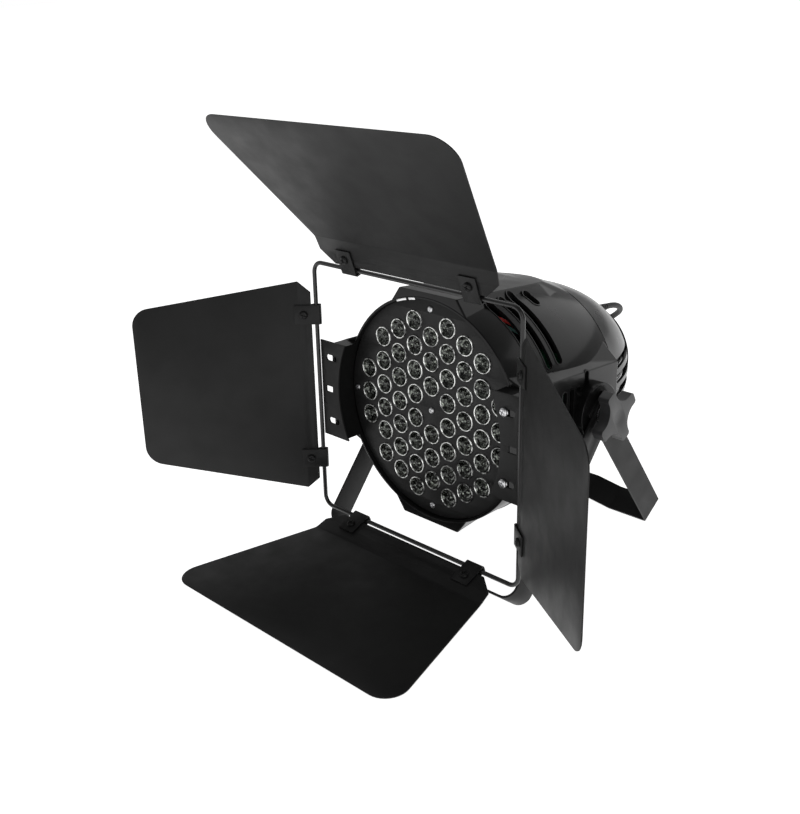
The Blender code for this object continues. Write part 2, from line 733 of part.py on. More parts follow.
def star_outline(steps=3):
    """Four arms with round corners and hollow flanks, all of arcs that meet smoothly."""
    hollow_at, hollow, corner = 30 * MM, 15.5 * MM, 3 * MM
    reach = KNOB_TIP - corner
    cosine = (reach ** 2 + hollow_at ** 2 - (hollow + corner) ** 2) / (2 * reach * hollow_at)
    off = 45 - math.degrees(math.acos(cosine))
    points = []
    for arm in range(4):
        middle, following = 90 * arm, 90 * arm + 90
        centre = polar(hollow_at, middle + 45)
        first, second = polar(reach, middle + off), polar(reach, following - off)
        to_first = middle + (heading(centre, first) - middle) % 360
        to_second = middle + (heading(centre, second) - middle) % 360
        points += arc(first, corner, middle + off, to_first - 180, steps)
        points += arc(centre, hollow, to_first, to_second, 3 * steps)[1:-1]
        points += arc(second, corner, to_second - 180, following - off, steps)
    return points


def make_knob(side_name, side, head):
    """A star knob on its threaded stud, with the washer under it."""
    start = FRONT_YOKE["outer_x"]
    screw = add_empty(f"knob_{side_name}_axis", head,
                      Matrix.Translation((side * start, PIVOT_Y, 0))
                      @ Matrix.Rotation(math.radians(0 if side > 0 else 180), 4, "Z"))
    washer = cut(rod((GAP, 0, 0), (1.8 * MM, 0, 0), 11 * MM, 20),
                 rod((-1 * MM, 0, 0), (3 * MM, 0, 0), STUD_RADIUS + GAP, 12))
    finish_part(washer, f"knob_washer_{side_name}", "steel", screw)

    depth = KNOB_FACE - start
    star = sheet_prism(star_outline(), (depth - 5 * MM) / 2)
    placed(star, Matrix.Translation(((depth + 5 * MM) / 2, 0, 0))
           @ Matrix.Rotation(math.radians(30), 4, "X")
           @ Matrix.Rotation(math.radians(90), 4, "Y"))
    knob = join(star, rod((1.8 * MM + GAP, 0, 0), (6 * MM, 0, 0), 12 * MM, 20))
    knob = cut(knob, rod((0, 0, 0), (depth - 4 * MM, 0, 0), STUD_RADIUS + GAP, 12),
               rod((depth - 1 * MM, 0, 0), (depth + 2 * MM, 0, 0), 7 * MM, 16))
    finish_part(knob, f"knob_{side_name}", "grey_plastic", screw)

    stud = rod((-24 * MM, 0, 0), (depth - 4.4 * MM, 0, 0), STUD_RADIUS, 12)
    finish_part(stud, f"knob_stud_{side_name}", "steel", screw)


# ---------------------------------------------------------------- barn door

def make_wire_frame(head):
    half = FRAME_SIDE / 2
    corners = [(-half, -half), (half, -half), (half, half), (-half, half)]
    outline = rounded(corners, [FRAME_CORNER] * 4, 5)
    tube("wire_frame", [(x, FRAME_Y, z) for x, z in outline], ROD_RADIUS, "black_satin", head,
         resolution=2, cyclic=True)


def make_side_plate(side_name, side, head):
    """Plate with a hollow inner edge, two long screw slots and a small centre slot."""
    chord = PLATE_HALF_HEIGHT
    outer = 119 * MM
    inner_corner, inner_middle = 86 * MM, 97 * MM
    sag = inner_middle - inner_corner
    radius = (chord ** 2 + sag ** 2) / (2 * sag)
    centre = inner_middle - radius
    half_angle = math.degrees(math.asin(chord / radius))
    outline = arc((centre, 0), radius, half_angle, -half_angle, 8)
    outline += [(outer, -chord), (outer, chord)]
    holes = []
    for z in (-PLATE_SCREW[1], PLATE_SCREW[1]):
        holes.append(rounded([(98 * MM, z - 3 * MM), (112 * MM, z - 3 * MM),
                              (112 * MM, z + 3 * MM), (98 * MM, z + 3 * MM)], [2.9 * MM] * 4, 3))
    holes.append([(105 * MM, -3 * MM), (114 * MM, -3 * MM), (114 * MM, 3 * MM),
                  (105 * MM, 3 * MM)])
    plate = sheet_prism(outline, (PLATE_Y[1] - PLATE_Y[0]) / 2, holes)
    facing_front(plate, sum(PLATE_Y) / 2)
    if side < 0:
        placed(plate, Matrix.Rotation(math.pi, 4, "Y"))
    finish_part(plate, f"side_plate_{side_name}", "black_powder", head)


def make_plate_screws(head):
    x = PLATE_SCREW[0]
    head_back = PLATE_Y[0] - GAP
    for name, z in (("plate_screw_upper", PLATE_SCREW[1]), ("plate_screw_lower", -PLATE_SCREW[1])):
        screw = join(rod((x, head_back - 2.4 * MM, z), (x, head_back, z), 4 * MM, 14),
                     rod((x, head_back - 1 * MM, z), (x, -12 * MM, z), 1.9 * MM, 8))
        screw = cut(screw, box((x - 3.2 * MM, head_back - 4 * MM, z - 0.5 * MM),
                               (x + 3.2 * MM, head_back - 1.4 * MM, z + 0.5 * MM)))
        finish_part(screw, name, "steel", head)


def leaf_place(position, angle):
    """Hinge frame of a leaf: X along the rod, Y out along its flange, Z its inner face."""
    half = FRAME_SIDE / 2
    c, s = math.cos(angle), math.sin(angle)
    along, inner, at = {
        "top": ((0, -c, s), (0, -s, -c), (0, FRAME_Y, half)),
        "bottom": ((0, -c, -s), (0, -s, c), (0, FRAME_Y, -half)),
        "left": ((-s, -c, 0), (c, -s, 0), (-half, FRAME_Y, 0)),
        "right": ((s, -c, 0), (-c, -s, 0), (half, FRAME_Y, 0)),
    }[position]
    along, inner = Vector(along), Vector(inner)
    rod_axis = along.cross(inner)
    turn = Matrix((rod_axis, along, inner)).transposed().to_4x4()
    return Matrix.Translation(at) @ turn


LEAF_MID = ROD_RADIUS + 0.25 * MM - GAP - SHEET / 2     # the leaf lies against the front legs


def leaf_surface(leaf):
    """The leaf's mid surface, flat or with its one crease, in the hinge frame."""
    shoulder_half, shoulder = leaf["shoulder"]
    hinge = [(-leaf["hinge_half"], LEAF_START), (leaf["hinge_half"], LEAF_START),
             (shoulder_half, shoulder)]
    side_slope = (leaf["outer_half"] - shoulder_half) / (leaf["length"] - shoulder)
    length, corner = leaf["length"], leaf["corner"]
    crease_half = shoulder_half + 1.5 * MM
    if leaf["crease"]:
        side_slope = (leaf["outer_half"] - crease_half) / (length - CREASE)
        start = (crease_half, CREASE)
    else:
        start = (shoulder_half, shoulder)
    tips = rounded([(-start[0], start[1]), start, (leaf["outer_half"], length),
                    (-leaf["outer_half"], length)], [0, 0, corner, corner], 6)[2:]
    shape = bmesh.new()

    def vert(u, v):
        if leaf["crease"] and v > CREASE:
            beyond = v - CREASE
            return shape.verts.new((u, CREASE + beyond * math.cos(CREASE_BEND),
                                    LEAF_MID + beyond * math.sin(CREASE_BEND)))
        return shape.verts.new((u, v, LEAF_MID))

    lower = [vert(*p) for p in hinge]
    right = vert(*start) if leaf["crease"] else lower[-1]
    left_shoulder = vert(-shoulder_half, shoulder)
    left = vert(-start[0], start[1]) if leaf["crease"] else left_shoulder
    upper = [vert(*p) for p in tips]
    if leaf["crease"]:
        shape.faces.new([lower[0], lower[1], lower[2], right, left, left_shoulder])
        shape.faces.new([left, right, *upper])
    else:
        shape.faces.new([lower[0], lower[1], right, *upper, left])
    return from_bmesh("leaf", shape)


def make_leaf(position, leaf, head):
    angle = math.radians(LEAF_ANGLE[position])
    hinge = add_empty(f"leaf_{position}_hinge", head, leaf_place(position, angle))
    sheet = leaf_surface(leaf)
    solidify = sheet.modifiers.new("sheet", "SOLIDIFY")
    solidify.thickness = SHEET
    solidify.offset = 0
    solidify.use_even_offset = True
    bpy.context.view_layer.update()
    sheet = baked(sheet)
    for u in (-CLAMP_U, CLAMP_U):
        sheet = cut(sheet, rod((u, SCREW_V, -5 * MM), (u, SCREW_V, 5 * MM), 2.3 * MM, 8))
    finish_part(sheet, f"leaf_{position}", "black_powder", hinge, 12)
    for k, u in enumerate((-CLAMP_U, CLAMP_U)):
        make_clamp(f"clamp_{position}_{k + 1}", u, hinge)
        make_clamp_screw(f"clamp_screw_{position}_{k + 1}", u, hinge)


FRONT_LEG = ROD_RADIUS + 0.25 * MM + CLAMP_SHEET / 2    # middle of the clamp's front leg


def make_clamp(name, u, hinge):
    """A strip folded round the rod, its two legs holding the leaf's edge."""
    back_leg = LEAF_MID - SHEET / 2 - GAP - CLAMP_SHEET / 2
    path = [(20 * MM, FRONT_LEG), (-3.9 * MM, FRONT_LEG), (-3.9 * MM, -FRONT_LEG),
            (2.6 * MM, -FRONT_LEG), (6.5 * MM, back_leg), (16.5 * MM, back_leg)]
    centre_line = rounded(path, [0, 1 * MM, 1 * MM, 1 * MM, 1 * MM, 0], 1)
    clamp = sheet_prism(ribbon(centre_line, CLAMP_SHEET / 2), CLAMP_WIDTH / 2)
    # the section's x and y become the hinge frame's y and z
    placed(clamp, Matrix.Translation((u, 0, 0)) @ Matrix(((0, 0, 1, 0), (1, 0, 0, 0),
                                                          (0, 1, 0, 0), (0, 0, 0, 1))))
    clamp = cut(clamp, rod((u, SCREW_V, -8 * MM), (u, SCREW_V, 8 * MM), 2.3 * MM, 8))
    finish_part(clamp, name, "black_satin", hinge)


def make_clamp_screw(name, u, hinge):
    """Pan-head screw with its nut behind the leaf, as one fitted piece."""
    front = FRONT_LEG + CLAMP_SHEET / 2 + GAP
    back = LEAF_MID - SHEET / 2 - GAP - CLAMP_SHEET - GAP
    screw = join(rod((u, SCREW_V, front), (u, SCREW_V, front + 2.2 * MM), 3.9 * MM, 12,
                     end_radius=3.2 * MM),
                 rod((u, SCREW_V, back - 3.4 * MM), (u, SCREW_V, front + 1 * MM), 1.8 * MM, 8),
                 rod((u, SCREW_V, back - 2.6 * MM), (u, SCREW_V, back), 3.8 * MM, 6))
    finish_part(screw, name, "black_satin", hinge)


# ---------------------------------------------------------------- mains lead

def make_gland(head):
    x, z = GLAND
    nut = join(rod((x, REAR_FACE + GAP, z), (x, GLAND_END - 3 * MM, z), 7.5 * MM, 6),
               rod((x, GLAND_END - 3.5 * MM, z), (x, GLAND_END, z), 6 * MM, 20))
    finish_part(nut, "cord_gland", "black_satin", head)
    relief = rod((x, GLAND_END + GAP, z), (x, RELIEF_END, z), 5 * MM, 16,
                 end_radius=3.4 * MM)
    finish_part(relief, "cord_relief", "black_rubber", head)


def lead_route(place):
    """From the strain relief over a hanging bow down to the coil, in world space."""
    x, z = (v * 1000 for v in GLAND)
    bow = [(x, 263.4, z), (x, 266, z), (x - 0.8, 276, z - 1.2), (x - 2, 287, z - 4),
           (x - 4.5, 297, z - 9), (x - 10, 304.5, z - 15.5), (x - 19, 308.5, z - 22.5),
           (x - 30, 311, z - 31), (x - 41, 315, z - 46), (x - 52, 321, z - 68),
           (x - 61, 328, z - 92), (x - 69, 335, z - 115), (x - 75, 341, z - 134)]
    points = [place @ (Vector(p) * MM) for p in bow]
    cx, cy = COIL_CENTRE
    outside = COIL_RADII[1] + CORD_RADIUS + 0.5 * MM
    for angle, lift in ((52, 13), (68, 5.5), (84, 3.4), (98, 3.3)):
        a = math.radians(angle)
        points.append(Vector((cx + outside * math.cos(a), cy + outside * math.sin(a),
                              lift * MM)))
    return smooth_route(points, 12 * MM)


def tail_route():
    """From the coil to the plug, lying on the floor, going on round the way the lead came."""
    cx, cy = COIL_CENTRE
    outside = COIL_RADII[1] + CORD_RADIUS + 0.5 * MM
    low = CORD_RADIUS + 0.5 * MM
    points = []
    for angle, extra in ((150, 0), (158, 0.6), (167, 2.6), (176, 6.5)):
        a = math.radians(angle)
        points.append(Vector((cx + (outside + extra * MM) * math.cos(a),
                              cy + (outside + extra * MM) * math.sin(a), low)))
    px, py = PLUG_START
    points += [Vector((px, py + 9 * MM, PLUG_HEIGHT - 1 * MM)),
               Vector((px, py + 0.4 * MM, PLUG_HEIGHT))]
    return smooth_route(points, 9 * MM)


def make_plug():
    """Moulded three-pin plug lying on its side, its cord end at PLUG_START."""
    x, y = PLUG_START
    z = PLUG_HEIGHT
    body = rod((x, y, z), (x, y - 16 * MM, z), 4.2 * MM, 12, end_radius=6.5 * MM)
    body = join(body, box((x - 13 * MM, y - 40 * MM, z - 10 * MM),
                          (x + 13 * MM, y - 15 * MM, z + 10 * MM)))
    for side in (-1, 1):
        px = x + side * 6.35 * MM
        body = join(body, box((px - 0.75 * MM, y - 57 * MM, z + 0.5 * MM),
                              (px + 0.75 * MM, y - 39 * MM, z + 6.8 * MM)))
    body = join(body, rod((x, y - 39 * MM, z - 5.5 * MM), (x, y - 60 * MM, z - 5.5 * MM),
                          2.4 * MM, 10))
    finish_part(body, "mains_plug", "black_rubber", None)


def make_cord(head):
    make_gland(head)
    tube("cord_lead", lead_route(head_place()), CORD_RADIUS, "black_rubber", None)
    cx, cy = COIL_CENTRE
    inner, outer = COIL_RADII
    low, high = 1.5 * MM, 1.5 * MM + COIL_HEIGHT
    soft = 3 * MM
    section = [(outer - soft, high), (outer, high - soft), (outer, low + soft),
               (outer - soft, low), (inner + soft, low), (inner, low + soft),
               (inner, high - soft), (inner + soft, high)]
    coil = turned([(r, z) for r, z in section], steps=28, name="coil")
    # turned about Y: stood up so that its axis is vertical
    placed(coil, Matrix.Translation((cx, cy, 0)) @ Matrix.Rotation(math.radians(90), 4, "X"))
    finish_part(coil, "cord_coil", "black_rubber", None)
    around, sheet, bow = GAP, 0.9 * MM, 0.8 * MM
    tie = box((cx - outer - around - sheet, cy - 4 * MM, low - around - sheet),
              (cx - inner + bow + sheet, cy + 4 * MM, high + around + sheet))
    tie = cut(tie, box((cx - outer - around, cy - 6 * MM, low - around),
                       (cx - inner + bow, cy + 6 * MM, high + around)))
    placed(tie, Matrix.Translation((cx, cy, 0)) @ Matrix.Rotation(math.radians(120), 4, "Z")
           @ Matrix.Translation((-cx, -cy, 0)))
    finish_part(tie, "cord_tie", "black_satin", None)
    tube("cord_tail", tail_route(), CORD_RADIUS, "black_rubber", None)
    make_plug()


# ---------------------------------------------------------------- standing pose

def foot(yoke, edge):
    """Lowest edge of a yoke's bar in the head frame, as (y, z)."""
    lean, reach, half = yoke["lean"], yoke["reach"], yoke["width"] / 2
    return (PIVOT_Y - reach * math.sin(lean) + edge * half * math.cos(lean),
            -reach * math.cos(lean) - edge * half * math.sin(lean))


def head_place():
    """Tilts the head so that both feet are level, and sets them on Z = 0."""
    front, rear = foot(FRONT_YOKE, 1), foot(REAR_YOKE, -1)
    tilt = -math.atan2(rear[1] - front[1], rear[0] - front[0])
    height = -(front[0] * math.sin(tilt) + front[1] * math.cos(tilt))
    return (Matrix.Translation((HEAD_X, HEAD_Y, height))
            @ Matrix.Rotation(tilt, 4, "X"))


HEAD_X = -5.6 * MM                  # these two centre the object's box on the origin
HEAD_Y = -16.1 * MM


clear_scene()
PARTS = parts_collection()
HEAD = add_empty("head_frame", None, head_place())
make_housing(HEAD)
make_rear_cap(HEAD)
make_led_face(HEAD)
make_heat_sink(HEAD)
make_fan(HEAD)
make_power_supply(HEAD)
make_wires(HEAD)
make_rear_panel(HEAD)
make_yoke("front_yoke", FRONT_YOKE, HEAD)
make_yoke("rear_yoke", REAR_YOKE, HEAD)
make_knob("left", -1, HEAD)
make_knob("right", 1, HEAD)
make_wire_frame(HEAD)
make_side_plate("left", -1, HEAD)
make_side_plate("right", 1, HEAD)
make_plate_screws(HEAD)
for position in ("top", "bottom"):
    make_leaf(position, WIDE_LEAF, HEAD)
for position in ("left", "right"):
    make_leaf(position, SIDE_LEAF, HEAD)
make_cord(HEAD)
bpy.context.view_layer.update()
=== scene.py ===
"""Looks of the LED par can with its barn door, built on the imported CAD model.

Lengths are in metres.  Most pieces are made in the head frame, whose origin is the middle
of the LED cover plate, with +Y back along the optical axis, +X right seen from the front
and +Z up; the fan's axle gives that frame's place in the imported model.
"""

import json
import math

import bmesh
import bpy
from mathutils import Matrix, Vector


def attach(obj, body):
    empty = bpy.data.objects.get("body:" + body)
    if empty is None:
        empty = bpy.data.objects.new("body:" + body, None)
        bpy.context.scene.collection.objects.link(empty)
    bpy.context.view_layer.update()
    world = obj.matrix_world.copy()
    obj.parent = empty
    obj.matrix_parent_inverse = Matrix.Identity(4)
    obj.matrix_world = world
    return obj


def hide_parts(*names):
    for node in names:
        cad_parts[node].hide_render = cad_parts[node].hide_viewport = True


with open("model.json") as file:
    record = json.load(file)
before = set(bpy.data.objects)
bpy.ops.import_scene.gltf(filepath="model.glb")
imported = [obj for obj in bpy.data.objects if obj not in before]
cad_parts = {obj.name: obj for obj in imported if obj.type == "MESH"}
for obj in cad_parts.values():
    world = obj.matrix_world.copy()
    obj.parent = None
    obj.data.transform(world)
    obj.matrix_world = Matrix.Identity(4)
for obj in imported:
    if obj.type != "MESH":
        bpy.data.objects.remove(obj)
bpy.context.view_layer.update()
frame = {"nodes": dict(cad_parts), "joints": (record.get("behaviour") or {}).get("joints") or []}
JOINTS = {joint["name"]: joint for joint in frame["joints"]}

MM = 0.001
GAP = 0.3 * MM

# LED face
LED_PITCH = 22.5 * MM
LENS_RADIUS = 9.2 * MM
COVER_RADIUS = 100.3 * MM
COVER_THICKNESS = 2 * MM

# housing
BODY_RADIUS = 103 * MM
BODY_FRONT = -4.5 * MM
BODY_WALL = 2.5 * MM
MOUTH_RADIUS = 100.8 * MM
TAPER_START = 30 * MM
TAPER_END = 246 * MM
TAPER_POWER = 2.2
SEAM = 146 * MM
REAR_FACE = 232 * MM
REAR_FACE_RADIUS = 46 * MM

# pivot and yokes
PIVOT_Y = 94.4 * MM
BOSS_RADIUS = 25.7 * MM
BOSS_END = 111 * MM
STUD_RADIUS = 4 * MM
YOKE_SHEET = 2 * MM
FRONT_YOKE = {"outer_x": 115.6 * MM, "reach": 181.4 * MM, "width": 25.4 * MM,
              "lean": math.radians(38.6), "bend": 13 * MM, "joggle": 0.0,
              "side_holes": (-38 * MM, 38 * MM)}
REAR_YOKE = {"outer_x": 113.3 * MM, "reach": 160.0 * MM, "width": 25.9 * MM,
             "lean": math.radians(-36.1), "bend": 4 * MM, "joggle": 8 * MM,
             "side_holes": ()}
YOKE_TOP = 13.9 * MM
KNOB_FACE = 131 * MM
KNOB_TIP = 26 * MM

# barn door
FRAME_SIDE = 240 * MM
FRAME_Y = -25 * MM
ROD_RADIUS = 2 * MM
FRAME_CORNER = 10 * MM
PLATE_Y = (-22.7 * MM, -21.2 * MM)
PLATE_HALF_HEIGHT = 46.5 * MM
LUG_HALF_HEIGHT = 45 * MM
LUG_OUTER = 105.5 * MM
LUG_INNER_RADIUS = 99.5 * MM
PLATE_SCREW = (101 * MM, 31 * MM)
SHEET = 1.0 * MM
LEAF_START = 4.5 * MM
CREASE = 29.5 * MM
CREASE_BEND = math.radians(20)
WIDE_LEAF = {"hinge_half": 87 * MM, "shoulder": (102 * MM, 17 * MM), "outer_half": 141.5 * MM,
             "length": 170.5 * MM, "corner": 19 * MM, "crease": True}
SIDE_LEAF = {"hinge_half": 92 * MM, "shoulder": (102 * MM, 16 * MM), "outer_half": 75 * MM,
             "length": 171.5 * MM, "corner": 18 * MM, "crease": False}
LEAF_ANGLE = {"top": 70.9, "bottom": 23.3, "left": 47.6, "right": 53.5}
CLAMP_U = 71 * MM
CLAMP_WIDTH = 18 * MM
CLAMP_SHEET = 1.2 * MM
SCREW_V = 11.5 * MM

# rear panel
PANEL_Z = -6 * MM
PANEL_RADIUS = 36 * MM
PANEL_OPENING = 33 * MM
PANEL_Y = (227.2 * MM, 229.2 * MM)
BUTTON_RADIUS = 3.2 * MM
BUTTON_X = (-18 * MM, -6 * MM, 6 * MM, 18 * MM)
BUTTON_Z = -1 * MM
SOCKET_RADIUS = 10.5 * MM
BARREL_RADIUS = 9.2 * MM
SOCKET_DEPTH = 13 * MM
SOCKET_X = 13.5 * MM
SOCKET_Z = -20 * MM

# mains lead
CORD_RADIUS = 3 * MM
GLAND = (-3 * MM, 38 * MM)
GLAND_END = 239.5 * MM
RELIEF_END = 263 * MM
COIL_CENTRE = (-125 * MM, 288 * MM)
COIL_RADII = (27 * MM, 45 * MM)
COIL_BASE = 1.5 * MM
PLUG_START = (-183 * MM, 262 * MM)
PLUG_HEIGHT = 10.3 * MM

# how far behind the head frame's origin the fan's axle joint is, in millimetres, and the
# focal length that fits the photograph, for a 36 mm sensor
FAN_AT = 54
CAMERA_LENS = 48.83

# studio: what the area lights aim at, and the floor
LAMP_MIDDLE = (0, 0, 0.15)
FLOOR_HALF = 14
FLOOR_DROP = 0.0005


def mm(*values):
    return tuple(value * MM for value in values)


def shift(x, y, z):
    return Matrix.Translation((x, y, z))


def turn_about(axis, degrees):
    return Matrix.Rotation(math.radians(degrees), 4, axis)


def set_inputs(node, **values):
    """Sets the named inputs; an underscore stands for a space."""
    for name, value in values.items():
        node.inputs[name.replace("_", " ")].default_value = value


def head_place():
    """The head frame's place, from the fan's axle: it runs along +Y through the origin."""
    fan = JOINTS["fan_spin"]
    y = Vector(fan["axis"]).normalized()
    x = Vector((1, 0, 0))
    turn = Matrix((x, y, x.cross(y))).transposed().to_4x4()
    return Matrix.Translation(Vector(fan["pos_m"]) - y * FAN_AT * MM) @ turn


HEAD = head_place()
# stands a flat sheet on edge: its x, y and z become y, z and x
ON_EDGE = Matrix(((0, 0, 1, 0), (1, 0, 0, 0), (0, 1, 0, 0), (0, 0, 0, 1)))


# ---------------------------------------------------------------- camera, light and floor

def add_camera():
    """The view of the photograph, settled in the head frame."""
    camera = add_object("camera", bpy.data.cameras.new("camera"))
    camera.data.sensor_fit = "HORIZONTAL"
    camera.data.sensor_width = 36
    camera.data.lens = CAMERA_LENS
    camera.data.clip_start = 0.01
    turn = Vector((1.8278, 0.7399, -0.5406))
    view = Matrix.Rotation(turn.length, 3, turn.normalized())
    place = -(view.transposed() @ Vector((0.02791, 0.00302, 0.95301)))
    pose = Matrix((view[0], -view[1], -view[2])).transposed().to_4x4()
    pose.translation = place
    camera.matrix_world = HEAD @ pose
    bpy.context.scene.camera = camera


def add_area_light(name, at, size, power):
    data = bpy.data.lights.new(name, "AREA")
    data.shape = "RECTANGLE"
    data.size, data.size_y = size
    data.energy = power
    light = add_object(name, data)
    light.location = at
    light.rotation_euler = (Vector(LAMP_MIDDLE) - Vector(at)).to_track_quat("-Z", "Y").to_euler()


def add_studio():
    world = bpy.data.worlds.new("studio")
    world.use_nodes = True
    tree = world.node_tree
    background = tree.nodes["Background"]
    # the camera sees a white sweep; the lamp is lit by a dimmer room, lighter to the left
    facing = tree.nodes.new("ShaderNodeVectorMath")
    facing.operation = "DOT_PRODUCT"
    facing.inputs[1].default_value = (-0.9, 0.3, 0.3)
    tree.links.new(tree.nodes.new("ShaderNodeTexCoord").outputs["Generated"], facing.inputs[0])
    room = ramp(tree, facing.outputs["Value"], grey(0.1), grey(0.45), 0.0, 0.9)
    sweep = tree.nodes.new("ShaderNodeMix")
    sweep.data_type = "RGBA"
    sweep.inputs["B"].default_value = grey(1)
    tree.links.new(tree.nodes.new("ShaderNodeLightPath").outputs["Is Camera Ray"],
                   sweep.inputs["Factor"])
    tree.links.new(room, sweep.inputs["A"])
    tree.links.new(sweep.outputs["Result"], background.inputs["Color"])
    bpy.context.scene.world = world
    bpy.context.scene.view_settings.view_transform = "Standard"
    add_area_light("key_top", (-0.5, 0.2, 1.3), (1.2, 1.0), 1.4)
    add_area_light("fill_right", (1.5, -1.3, 0.9), (1.0, 1.4), 9)
    add_area_light("rim_back", (0.3, 1.5, 0.8), (1.4, 0.8), 4)
    mesh = bpy.data.meshes.new("floor")
    signs = ((-1, -1), (1, -1), (1, 1), (-1, 1))
    mesh.from_pydata([(x * FLOOR_HALF, y * FLOOR_HALF, 0) for x, y in signs], [],
                     [(0, 1, 2, 3)])
    floor = add_object("floor", mesh)
    floor.location.z = -FLOOR_DROP
    # the floor glows a little, so it comes out as white as the sweep behind it
    mat, _, shader = new_material("pale_floor")
    set_inputs(shader, Base_Color=grey(0.93), Roughness=0.9, Specular_IOR_Level=0.1,
               Emission_Color=grey(1), Emission_Strength=0.93)
    mesh.materials.append(mat)


# ---------------------------------------------------------------- materials

def new_material(name):
    mat = bpy.data.materials.new(name)
    mat.use_nodes = True
    return mat, mat.node_tree, mat.node_tree.nodes["Principled BSDF"]


def noise_node(tree, scale, detail, vector):
    node = tree.nodes.new("ShaderNodeTexNoise")
    set_inputs(node, Scale=scale, Detail=detail)
    tree.links.new(vector, node.inputs["Vector"])
    return node.outputs["Fac"]


def ramp(tree, value, low, high, start=0.35, end=0.65):
    """A colour ramp between two greys or colours."""
    node = tree.nodes.new("ShaderNodeValToRGB")
    for element, position, colour in zip(node.color_ramp.elements, (start, end), (low, high)):
        element.position = position
        element.color = colour
    tree.links.new(value, node.inputs["Fac"])
    return node.outputs["Color"]


def grey(v):
    return (v, v, v, 1)


def scaled(colour, factor):
    return tuple(min(1, c * factor) for c in colour) + (1,)


def map_range(tree, value, low, high):
    node = tree.nodes.new("ShaderNodeMapRange")
    set_inputs(node, From_Min=0.3, From_Max=0.7, To_Min=low, To_Max=high)
    tree.links.new(value, node.inputs["Value"])
    return node.outputs["Result"]


def object_coordinates(tree):
    return tree.nodes.new("ShaderNodeTexCoord").outputs["Object"]


def bump(tree, shader, height, strength, distance):
    node = tree.nodes.new("ShaderNodeBump")
    set_inputs(node, Strength=strength, Distance=distance)
    tree.links.new(height, node.inputs["Height"])
    tree.links.new(node.outputs["Normal"], shader.inputs["Normal"])


def surface(name, low, high, tone, roughness, ends=(0.35, 0.65), gloss=None, grain=None,
            **inputs):
    """A finish with tone shifts, uneven gloss and a fine bump, all of them from noise.

    tone and gloss are a noise's scale and detail; without gloss the tone's noise serves for
    both.  grain is the bump's noise scale, strength and distance.
    """
    mat, tree, shader = new_material(name)
    place = object_coordinates(tree)
    shade = noise_node(tree, *tone, place)
    tree.links.new(ramp(tree, shade, low, high, *ends), shader.inputs["Base Color"])
    if gloss:
        shade = noise_node(tree, *gloss, place)
    tree.links.new(map_range(tree, shade, *roughness), shader.inputs["Roughness"])
    if grain:
        scale, strength, distance = grain
        bump(tree, shader, noise_node(tree, scale, 2, place), strength, distance)
    set_inputs(shader, **inputs)
    return mat


def coated_metal(name, colour, roughness, grain, strength, coat=0.0, shine=0.25):
    """Paint or powder coat, with a fine orange peel."""
    return surface(name, scaled(colour, 0.82), scaled(colour, 1.18), (14, 4),
                   (roughness * 0.9, roughness * 1.12), gloss=(45, 3),
                   grain=(grain, strength, 0.00012), Specular_IOR_Level=shine,
                   Coat_Weight=coat, Coat_Roughness=0.12)


def bare_metal(name, colour, roughness):
    """Bright metal with fine drawn or brushed streaks."""
    mat, tree, shader = new_material(name)
    mapping = tree.nodes.new("ShaderNodeMapping")
    set_inputs(mapping, Scale=(1, 1, 12))
    tree.links.new(object_coordinates(tree), mapping.inputs["Vector"])
    streak = noise_node(tree, 90, 4, mapping.outputs["Vector"])
    tree.links.new(ramp(tree, streak, scaled(colour, 0.85), scaled(colour, 1.1)),
                   shader.inputs["Base Color"])
    tree.links.new(map_range(tree, streak, roughness * 0.8, roughness * 1.25),
                   shader.inputs["Roughness"])
    set_inputs(shader, Metallic=1.0)
    bump(tree, shader, streak, 0.08, 0.00005)
    return mat


def plastic(name, colour, roughness, grain=900, strength=0.25):
    """Moulded plastic or rubber with a fine texture."""
    return surface(name, scaled(colour, 0.85), scaled(colour, 1.15), (30, 3),
                   (roughness * 0.92, roughness * 1.08), grain=(grain, strength, 0.0001))


def board_material(name, low, high, cell):
    """Circuit board: solder mask over a faint pattern of tracks."""
    mat, tree, shader = new_material(name)
    place = object_coordinates(tree)
    node = tree.nodes.new("ShaderNodeTexBrick")
    set_inputs(node, Scale=cell, Color1=low, Color2=high, Mortar=scaled(low[:3], 0.7))
    tree.links.new(place, node.inputs["Vector"])
    tree.links.new(node.outputs["Color"], shader.inputs["Base Color"])
    tree.links.new(map_range(tree, noise_node(tree, 80, 2, place), 0.35, 0.5),
                   shader.inputs["Roughness"])
    return mat


